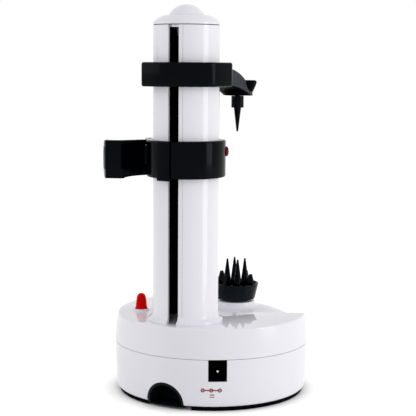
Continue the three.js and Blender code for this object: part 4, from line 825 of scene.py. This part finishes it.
# %% Cap and knob
cap_rise = 7.1
cap = turned("top_cap_skin", above(tower_top, [
    (0, -cap_collar), (7, -cap_collar), (7, -1.9), (21.5, -1.9), (21.5, 0.1), (24.2, 0.1),
    (24.38, 0.3), (24.35, 1.0), (24.15, 1.75), (23.6, 2.55), (22.75, 3.35), (21.6, 4.2),
    (20.3, 5.05), (19.0, 5.8), (17.6, 6.4), (15.6, 6.85), (13.2, 7.05), (0, cap_rise),
]), tower, 128)
stands_for(smooth(cap, 40), white_gloss, "base", "white_gloss", "top_cap")

# A thin black ring in the joint, a dark piece that paints the joint's shade.
joint_shade_ring = pipe("cap_joint_shade_ring", 23.2, 23.85, tower_top - 0.44, tower_top + 0.09, tower, 128)
stands_for(smooth(joint_shade_ring), black_rubber, "base", "black_rubber")

knob_low, knob_high = tower_top + cap_rise, levels("cap_dome")[1]
knob_rise, knob_half = knob_high - knob_low, 13.0
ball = (knob_half ** 2 + knob_rise ** 2) / (2 * knob_rise)
ball_edge = math.degrees(math.asin((ball - knob_rise) / ball))
knob_foot = [(0, knob_low - 0.1), (knob_half - 0.2, knob_low - 0.1)]
knob_round = on_arc((0, knob_high - ball), ball, ball_edge, 87, 14)
knob = turned("cap_knob", knob_foot + knob_round + [(0, knob_high)], tower, 96)
stands_for(smooth(knob, 40), white_gloss, "base", "white_gloss", "cap_dome")

# %% [markdown]
# The lead screw stands behind the slot. A V-shaped tooth wound by a Screw modifier gives the
# thread, and a turned core carries it.

# %% Lead screw
thread_pitch = 5.0
thread_turns = 39
screw_low, screw_high = levels("lead_screw")
let_go()
bpy.ops.mesh.primitive_circle_add(vertices=3, radius=MM, location=(0, 0, 0), fill_type="NOTHING")
worm = bpy.context.object
tooth = [(2.7, 0.0), (4.0, thread_pitch / 2), (2.7, thread_pitch)]
for vertex, (radius, height) in zip(worm.data.vertices, tooth):
    vertex.co = (radius * MM, 0, height * MM)
bpy.ops.object.mode_set(mode="EDIT")
bpy.ops.mesh.select_mode(type="EDGE")
bpy.ops.mesh.select_all(action="DESELECT")
bpy.ops.object.mode_set(mode="OBJECT")
for edge in worm.data.edges:
    edge.select = set(edge.vertices) == {0, 2}
bpy.ops.object.mode_set(mode="EDIT")
bpy.ops.mesh.delete(type="EDGE_FACE")
bpy.ops.object.mode_set(mode="OBJECT")
winding = worm.modifiers.new("winding", "SCREW")
winding.screw_offset = thread_pitch * MM
winding.iterations = thread_turns
winding.steps = 24
winding.render_steps = 24
winding.use_merge_vertices = True
bpy.ops.object.modifier_apply(modifier=winding.name)
worm.location = (tower[0] * MM, tower[1] * MM, (deck + 5.9) * MM)
settle(worm, "lead_screw_thread")
core = turned("lead_screw_core", [
    (0, screw_low), (2.4, screw_low), (2.4, 63), (2.95, 63), (2.95, 268), (2.4, 268),
    (2.4, screw_high), (0, screw_high),
], tower, 32)
join(core, [worm])
core.name = "lead_screw_cut"
stands_for(smooth(core, 40), steel, "screw", "steel", "lead_screw")

# %% [markdown]
# The red start button stands in a white bezel on the deck. It is a tapered cap with a round top
# and a low flange, and its top lies a little lower than that of its plain solid.

# %% Start button and bezel
bezel = turned("start_bezel_ring", above(deck, [
    (3.1, -9.6), (5.5, -9.6), (5.5, 0), (6.3, 0), (6.25, 0.6), (6.0, 1.2), (5.6, 1.5), (4.95, 1.5),
    (4.9, -8.6), (3.1, -8.6),
]), button, 64)
stands_for(smooth(bezel), white_gloss, "base", "white_gloss", "start_bezel")

stem_low, solid_top = levels("start_button")
button_top = solid_top - 0.66
button_round = 3.5
button_side = above(deck, [
    (2.2, 0.8), (4.75, 0.8), (4.75, 1.9), (4.6, 2.4), (4.3, 2.8), (4.2, 4.1), (4.07, 5.6),
    (3.74, 8.6),
])
button_head = on_arc((0, button_top - button_round), button_round, 12, 84, 7) + [(0, button_top)]
button_points = [(0, stem_low), (2.2, stem_low)] + button_side + button_head
push = turned("start_button_cap", button_points, button, 64)
stands_for(smooth(push, 40), red_cap, "start", "red_cap", "start_button")

# %% [markdown]
# The socket is a black block set into the wall, with a square recess and a round well in it. The
# pin inside stays a plain solid. The block is trimmed to the curve of the wall, and a Bevel
# modifier rounds its edges, as a moulded edge is never quite sharp.

# %% Power socket
def soften(piece, width, segments=3, degrees=30):
    """Round the sharp edges of a piece by a width in millimetres."""
    take(piece)
    modifier = piece.modifiers.new("soft edges", "BEVEL")
    modifier.width = width * MM
    modifier.segments = segments
    modifier.limit_method = "ANGLE"
    modifier.angle_limit = math.radians(degrees)
    modifier.use_clamp_overlap = True
    bpy.ops.object.modifier_apply(modifier=modifier.name)
    return piece


socket_face, socket_back = [corner[1] for corner in corners("dc_socket")]
socket_x = (socket_left + socket_right) / 2
socket_near = (socket_left + 0.3, socket_face, socket_foot)
socket = block("socket_block", socket_near, (socket_right - 0.3, socket_back, 37.75))
recess_half, recess_depth = 5.35, 5.4
recess_near = (socket_x - recess_half, socket_face - 1, 23.7)
recess = block("recess", recess_near, (socket_x + recess_half, socket_face + recess_depth, 36.65))
cut(socket, recess)
wall_profile = [(0, 15), (72.5, 15), (73.3, 37.0), (73.3, 45), (0, 45)]
socket_trim = turned("socket trim", wall_profile, sides=192)
combine(socket, socket_trim, "INTERSECT")
soften(socket, 0.35, 2, 50)
barrel = pipe("barrel", 0, 3.1, -1, 8, sides=48)
turn_about(barrel, -90, axis="X")
cut(socket, shift(barrel, socket_x, socket_face + recess_depth, 29.4))
stands_for(smooth(socket), black_satin, "base", "black_plastic", "dc_socket")

# %% [markdown]
# The carriage ring is turned with rounded rims. Its inside has a groove over part of the way
# round, where the release yoke moves, and a hole for the release button. A lug, a knuckle and a
# small stop for the arm stand on the left, and a shallow recess lies in front of the slot. All
# are made apart, and joined to the ring or cut from it.

# %% Carriage ring
ring_low, ring_high = levels("carriage_ring")
ring_radius = corners("carriage_ring")[1][0] - tower[0]
bore_radius = tower_radius + 0.4
rim_round = 1.3
knuckle_low, knuckle_high = ring_low + 13.6, ring_low + 21.8


def bridge_to(name, start, end, width, low, high):
    """A straight web between two places in plan."""
    way = Vector((end[0] - start[0], end[1] - start[1])).normalized() * width / 2
    side = (-way.y, way.x)
    outline = [
        (start[0] - side[0], start[1] - side[1]), (end[0] - side[0], end[1] - side[1]),
        (end[0] + side[0], end[1] + side[1]), (start[0] + side[0], start[1] + side[1]),
    ]
    return plan(name, outline, low, high)


rim_radius = ring_radius - rim_round
ring_foot = on_arc((rim_radius, ring_low + rim_round), rim_round, -90, 0, 6)
ring_head = on_arc((rim_radius, ring_high - rim_round), rim_round, 0, 90, 6)
ring_points = [(bore_radius, ring_low + 0.3), (bore_radius + 0.3, ring_low)] + ring_foot + ring_head
ring_points += [(bore_radius + 0.3, ring_high), (bore_radius, ring_high - 0.3)]
ring = turned("carriage_moulding", ring_points, tower, 160)
yoke_low, yoke_high = ring_low + 5.2, ring_high - 5.2
yoke_space = pipe("yoke space", 24, 27.8, yoke_low, yoke_high, tower)
wedge = plan("wedge", [tower] + on_arc(tower, 60, -131, 14, 16), ring_low, ring_high)
combine(yoke_space, wedge, "INTERSECT")
cut(ring, yoke_space)
button_hole = pipe("button hole", 0, 4.2, 0, 40, sides=48)
turn_about(button_hole, 90, axis="Y")
cut(ring, shift(button_hole, tower[0], tower[1], ring_low + 18.4))
dip = slot_box("dip", -2.1, 2.1, 31, ring_radius - 0.55, ring_low - 1, ring_high + 1)
cut(ring, turn_about(dip, 3.7, tower))
lug_start, lug_width = 0.84, 6.0
root = [t + (h - t) * lug_start for t, h in zip(tower, hinge)]
lug = bridge_to("lug", root, hinge, lug_width, knuckle_low, knuckle_high)
knuckle = pipe("knuckle", 0, 3.8, knuckle_low, knuckle_high, hinge, 48)
combine(lug, knuckle, "UNION")
stop_near = (hinge[0] - 2.7, hinge[1] - 9.3, ring_low + 8.2)
stop = block("arm stop", stop_near, (hinge[0] + 2.9, hinge[1] - 4.8, knuckle_high))
soften(stop, 0.4, 2)
combine(ring, lug, "UNION")
combine(ring, stop, "UNION")
cut(ring, pipe("pin bore", 0, 1.9, 150, 200, hinge, 32))
stands_for(smooth(ring), black_gloss, "carriage", "black_plastic", "carriage_ring")

# %% [markdown]
# Over the slot a narrow guard stands on the ring's outside and hooks under it. It is one turned
# section, cut to a strip and rounded.

# %% Slot guard
guard_low, guard_high = levels("carriage_guard")
guard_way = 31.9
guard_half = 5.3
guard = turned("slot_guard", [
    (ring_radius - 2.7, guard_low), (30.7, guard_low), (31.0, guard_low + 0.3),
    (31.0, guard_high - 0.4), (30.6, guard_high), (29.3, guard_high), (29.3, guard_low + 1),
    (ring_radius - 2.7, guard_low + 1),
], tower, 160)
strip = slot_box("strip", -guard_half, guard_half, 40, 0, guard_low - 5, guard_high + 5)
combine(guard, turn_about(strip, slot_way - guard_way, tower), "INTERSECT")
soften(guard, 0.5, 3, 50)
stands_for(smooth(guard), black_gloss, "carriage", "black_plastic", "carriage_guard")

# %% [markdown]
# The peeling arm is a bent plate with a long leg. The solid has the right folds, so a copy of it
# is merged and its edges are rounded. Its free edge bulges like a barrel and has round corners:
# a bar with that outline is drawn through the arm, and only what both share is kept.

# %% Moulded copies and the peeling arm
def moulded(node, name, width, finish, body, slot, kept_by=None):
    """A copy of a solid with its doubles merged and its edges rounded by a width."""
    take(nodes[node])
    bpy.ops.object.duplicate()
    copy = bpy.context.object
    bpy.ops.object.parent_clear(type="CLEAR_KEEP_TRANSFORM")
    settle(copy, name)
    outward(copy)
    bpy.ops.object.mode_set(mode="EDIT")
    bpy.ops.mesh.select_all(action="SELECT")
    bpy.ops.mesh.dissolve_limited(angle_limit=math.radians(1))
    bpy.ops.object.mode_set(mode="OBJECT")
    if kept_by:
        combine(copy, kept_by, "INTERSECT")
    soften(copy, width)
    smooth(copy)
    return stands_for(copy, finish, body, slot, node)


arm_left = corners("peel_arm")[0][0] + 0.1
arm_low, arm_high = levels("peel_arm")
arm_middle = (arm_low + arm_high) / 2
barrel_radius = 90.0
corner_round = 1.7
straight = arm_high - arm_middle - corner_round
sag = straight ** 2 / (2 * barrel_radius)
corner_x = arm_left + sag + corner_round
edge = [(arm_left + sag * (k / 8) ** 2, arm_middle + straight * k / 8) for k in range(-8, 9)]
upper_corner = on_arc((corner_x, arm_middle + straight), corner_round, 165, 90, 6)
lower_corner = on_arc((corner_x, arm_middle - straight), corner_round, 270, 195, 6)
outline = lower_corner + edge + upper_corner + [(60, arm_high), (60, arm_low)]
bulge = drawn("bulge", [(x, -100, z) for x, z in outline], (0, 200, 0))
moulded("peel_arm", "peeling_arm", 0.6, black_gloss, "arm", "black_plastic", kept_by=bulge)
moulded("blade_head", "blade_holder", 0.4, black_gloss, "blade", "black_plastic")

# %% [markdown]
# The release button is a small dark red dome that points to the right, so it is turned upright
# and laid over.

# %% Release button
release_low, release_high = corners("release_button")
near, far = release_low[0] - tower[0], release_high[0] - tower[0]
release = turned("release_button_cap", [
    (0, near), (3.7, near), (3.7, far - 1.6), (3.5, far - 1.1), (2.9, far - 0.55),
    (1.6, far - 0.12), (0, far),
], sides=48)
turn_about(release, 90, axis="Y")
shift(release, tower[0], tower[1], (release_low[2] + release_high[2]) / 2)
stands_for(smooth(release, 40), dark_red, "release", "red_button", "release_button")

# %% [markdown]
# The upper holder has three parts in one moulding: a collar with flat cheeks, a neck that curves
# down and forward, and a dish over the cup. Each is made and rounded by itself, and they are
# joined last. The collar is drawn in plan. Its back is flatter than the tower, so it follows a
# wider arc, and the front is round. Rounding starts at edges of 13 degrees: it takes every real
# corner and leaves the slight edges between the steps of the arcs.

# %% Collar of the upper holder
dish_low, holder_high = levels("upper_holder")
holder_low = dish_low + 7.9
dish_high = dish_low + 12
cheek_left, cheek_right, cheek_half = -31.9, 33.2, 9
corner_back = -14.2
back_reach = 30
back_radius = 37.0
back_middle = (tower[0], tower[1] - back_reach + back_radius)
right_x, left_x = tower[0] + cheek_right, tower[0] + cheek_left
front_y = tower[1] + cheek_half
collar_outline = on_arc(back_middle, back_radius, 227, 304.5, 24)
collar_outline += [(right_x, tower[1] - cheek_half), (right_x, front_y)]
collar_outline += on_arc(tower, 30.0, 46, 150, 24)
collar_outline += [(left_x, front_y), (left_x, tower[1] + corner_back)]
holder = plan("holder_moulding", collar_outline, holder_low, holder_high)
soften(holder, 1.5, 4, 13)
print("collar from", round(holder_low, 2), "to", round(holder_high, 2))

# %% [markdown]
# The neck is what a side outline and a plan outline share. Two smooth curves through a few points
# give the side outline. The points are shares of the way to the turntable's axis and of the
# neck's rise.

# %% Neck
def between(p, q, r, s, t):
    """A value on the smooth curve from q to r, at a share t of the way."""
    square = (2 * p - 5 * q + 4 * r - s) * t ** 2
    cube = (3 * q - p - 3 * r + s) * t ** 3
    return 0.5 * (2 * q + (r - p) * t + square + cube)


def curve_through(points):
    """Points on a smooth curve through the given ones, six to each stretch."""
    ends = [points[0]] + points + [points[-1]]
    made = []
    for a, b, c, d in zip(ends, ends[1:], ends[2:], ends[3:]):
        for i in range(6):
            made.append(tuple(between(p, q, r, s, i / 6) for p, q, r, s in zip(a, b, c, d)))
    return made + [points[-1]]


heading = math.degrees(math.atan2(turntable[0] - tower[0], turntable[1] - tower[1]))
neck_rise = holder_high - 3.3 - dish_low
neck_side = 13.1
neck_half = 12.1
top_shares = [
    (0.3, 1.0), (0.45, 0.99), (0.6, 0.955), (0.73, 0.84), (0.85, 0.64), (0.965, 0.325), (1.05, 0.0),
]
low_shares = [
    (0.99, 0.0), (0.93, 0.1), (0.85, 0.2), (0.73, 0.31), (0.6, 0.37), (0.45, 0.39), (0.3, 0.4),
]
shares = curve_through(top_shares) + curve_through(low_shares)
side_outline = [(-neck_side, way * reach, dish_low + up * neck_rise) for way, up in shares]
neck = drawn("neck", side_outline, (2 * neck_side, 0, 0))
neck_plan = [(-9, 0), (9, 0), (neck_half, reach)] + on_arc((0, reach), neck_half, 7.5, 180, 23)
combine(neck, plan("neck plan", neck_plan, dish_low - 1, holder_high), "INTERSECT")
turn_about(neck, -heading)
shift(neck, tower[0], tower[1])
soften(neck, 0.7, 3, 40)
print("neck faces:", len(neck.data.polygons), "heading:", round(heading, 2))

# %% [markdown]
# The dish is turned. Its rim is rounded, and a flat recess leads to the well in the middle.

# %% Dish
dish_side = above(dish_low, [
    (0, 0), (9.6, 0), (10.35, 0.3), (10.95, 1.0), (11.7, 2.4), (12.6, 4.2), (13.45, 6.0),
    (14.15, 7.7), (14.7, 9.3), (14.95, 10.3), (14.9, 10.9), (14.55, 11.5), (14.0, 11.9),
])
dish_inside = above(dish_high, [
    (13.3, 0), (12.6, -0.1), (11.8, -1.2), (6.6, -1.6), (6.2, -2.0), (6.2, -4), (0, -4),
])
dish = turned("dish", dish_side + dish_inside, turntable, 96)
print("dish faces:", len(dish.data.polygons))

# %% [markdown]
# The three parts get the same three finishes before they are joined, so the union keeps what each
# face had: gloss on the collar, a lighter grain on the neck's top and sides as painted light, and
# darker satin on the neck's underside and the dish as painted shade. Then come the bore for the
# tower, a key that runs in the slot, a space for the friction pad, and the bore and well of the
# spindle.

# %% Joined upper holder
lit_grained, satin = 1, 2
for piece in (holder, neck, dish):
    dress(piece, black_gloss)
    piece.data.materials.append(black_lit_grain)
    piece.data.materials.append(black_satin)
# Faces turned up or sideways get the lighter grain as painted light, and faces turned down get the
# dark satin as painted shade.
for face in neck.data.polygons:
    face.material_index = lit_grained if face.normal.z > -0.3 else satin
# The dish is all dark satin, as painted shade.
for face in dish.data.polygons:
    face.material_index = satin
combine(holder, neck, "UNION")
combine(holder, dish, "UNION")
cut(holder, pipe("tower bore", 0, bore_radius, 200, 260, tower, 128))
key_high = holder_high - 2
combine(holder, slot_box("slot key", -3.1, 3.1, 29, 22.2, holder_low, key_high), "UNION")
pad_low, pad_high = holder_low + 2.4, holder_high - 2.4
pad_space = pipe("pad space", 23, 26.2, pad_low, pad_high, tower)
pad_wedge = plan("pad wedge", [tower] + on_arc(tower, 60, 37, 87, 16), holder_low, holder_high)
combine(pad_space, pad_wedge, "INTERSECT")
cut(holder, pad_space)
cut(holder, pipe("spindle bore", 0, 2.3, 200, 240, turntable, 32))
cut(holder, pipe("well", 0, 6.2, dish_high - 4, 260, turntable, 48))
smooth(holder)
places = [face.material_index for face in holder.data.polygons]
stands_for(holder, black_gloss, "holder", "black_plastic", "upper_holder")
holder.data.materials.append(black_lit_grain)
holder.data.materials.append(black_satin)
holder.data.polygons.foreach_set("material_index", places)
print("grained faces:", places.count(lit_grained), "satin faces:", places.count(satin))

# %% [markdown]
# The upper spike is one turned piece: a thin point, a wide hub and a spindle that goes up
# through the dish.

# %% Upper spike
spike_low, spike_high = levels("upper_spike")
hub_high = dish_low - 0.3
hub_low = dish_low - 9.5
spike = turned("holder_spike", [
    (0, spike_low), (0.35, spike_low + 0.1), (0.7, spike_low + 0.7), (2.9, hub_low),
    (4.7, hub_low), (4.9, hub_low + 0.25), (4.9, hub_high - 0.25), (4.65, hub_high),
    (2.0, hub_high), (2.0, spike_high - 0.3), (1.7, spike_high), (0, spike_high),
], turntable, 64)
stands_for(smooth(spike), black_gloss, "spike", "black_plastic", "upper_spike")

# %% [markdown]
# The cup on the turntable holds the food from below: a bowl with a rounded foot, four tall
# spikes round a hub and four short fins on the rim. One spike and one fin are made in turn at
# each place and joined to the bowl. Its outer wall gets a paler finish of its own, a painted
# reflection of the white deck.

# %% Spiked cup
cup_low, spike_top = levels("food_cup")
rim_level = cup_low + 13.2
bowl_floor = cup_low + 2.4
hub_level = bowl_floor + 4.4
rim_radius = 18.0
foot_radius = 15.5
spike_circle = 7.05
cup = turned("spiked_cup", [
    (3.1, cup_low), (13.3, cup_low),
] + on_arc((13.3, cup_low + 2.2), 2.2, -72, -10, 4) + [
    (rim_radius, rim_level - 0.5), (rim_radius - 0.2, rim_level - 0.1),
    (rim_radius - 0.6, rim_level), (rim_radius - 1.4, rim_level),
    (rim_radius - 1.8, rim_level - 0.4), (foot_radius - 1.8, bowl_floor + 0.8),
    (foot_radius - 2.6, bowl_floor), (5.4, bowl_floor), (5.0, bowl_floor + 0.4),
    (5.0, hub_level - 0.3), (4.7, hub_level), (1.6, hub_level), (1.6, bowl_floor + 2.5),
    (3.1, bowl_floor + 2.5),
], turntable, 96)
for i in range(4):
    turn = math.radians(9 + 90 * i)
    at = (turntable[0] + spike_circle * math.cos(turn), turntable[1] + spike_circle * math.sin(turn))
    prong = turned("prong", [
        (0, bowl_floor - 1), (3.8, bowl_floor - 1), (3.5, bowl_floor + 5), (2.9, bowl_floor + 13.1),
        (0.72, spike_top - 0.8), (0.5, spike_top - 0.25), (0, spike_top),
    ], at, 24)
    combine(cup, prong, "UNION")
for i in range(4):
    outline = [
        (8.2, bowl_floor - 0.5), (foot_radius - 1.2, bowl_floor - 0.5), (rim_radius - 0.9, rim_level),
        (14.8, rim_level + 8), (13.4, rim_level + 8), (8.2, rim_level - 2.4),
    ]
    fin = drawn("fin", [(-1.4, y, z) for y, z in outline], (2.8, 0, 0))
    soften(fin, 0.35, 2)
    turn_about(fin, 54 - 90 + 90 * i)
    combine(cup, shift(fin, turntable[0], turntable[1]), "UNION")
outward(cup)
stands_for(smooth(cup, 36), black_gloss, "turntable", "black_plastic", "food_cup")

# %% [markdown]
# Faces below the rim, near the outside and not turned upwards are the cup's wall. They get the
# paler black, a painted reflection of the white deck below.

# %% Painted reflection on the cup's wall
wall_starts = foot_radius - 0.6
cup.data.materials.append(black_painted_light)
for face in cup.data.polygons:
    from_axis = math.hypot(face.center.x / MM - turntable[0], face.center.y / MM - turntable[1])
    if face.center.z < rim_level * MM and from_axis > wall_starts and face.normal.z < 0.3:
        face.material_index = 1
print("faces of the cup's wall:", sum(face.material_index for face in cup.data.polygons))
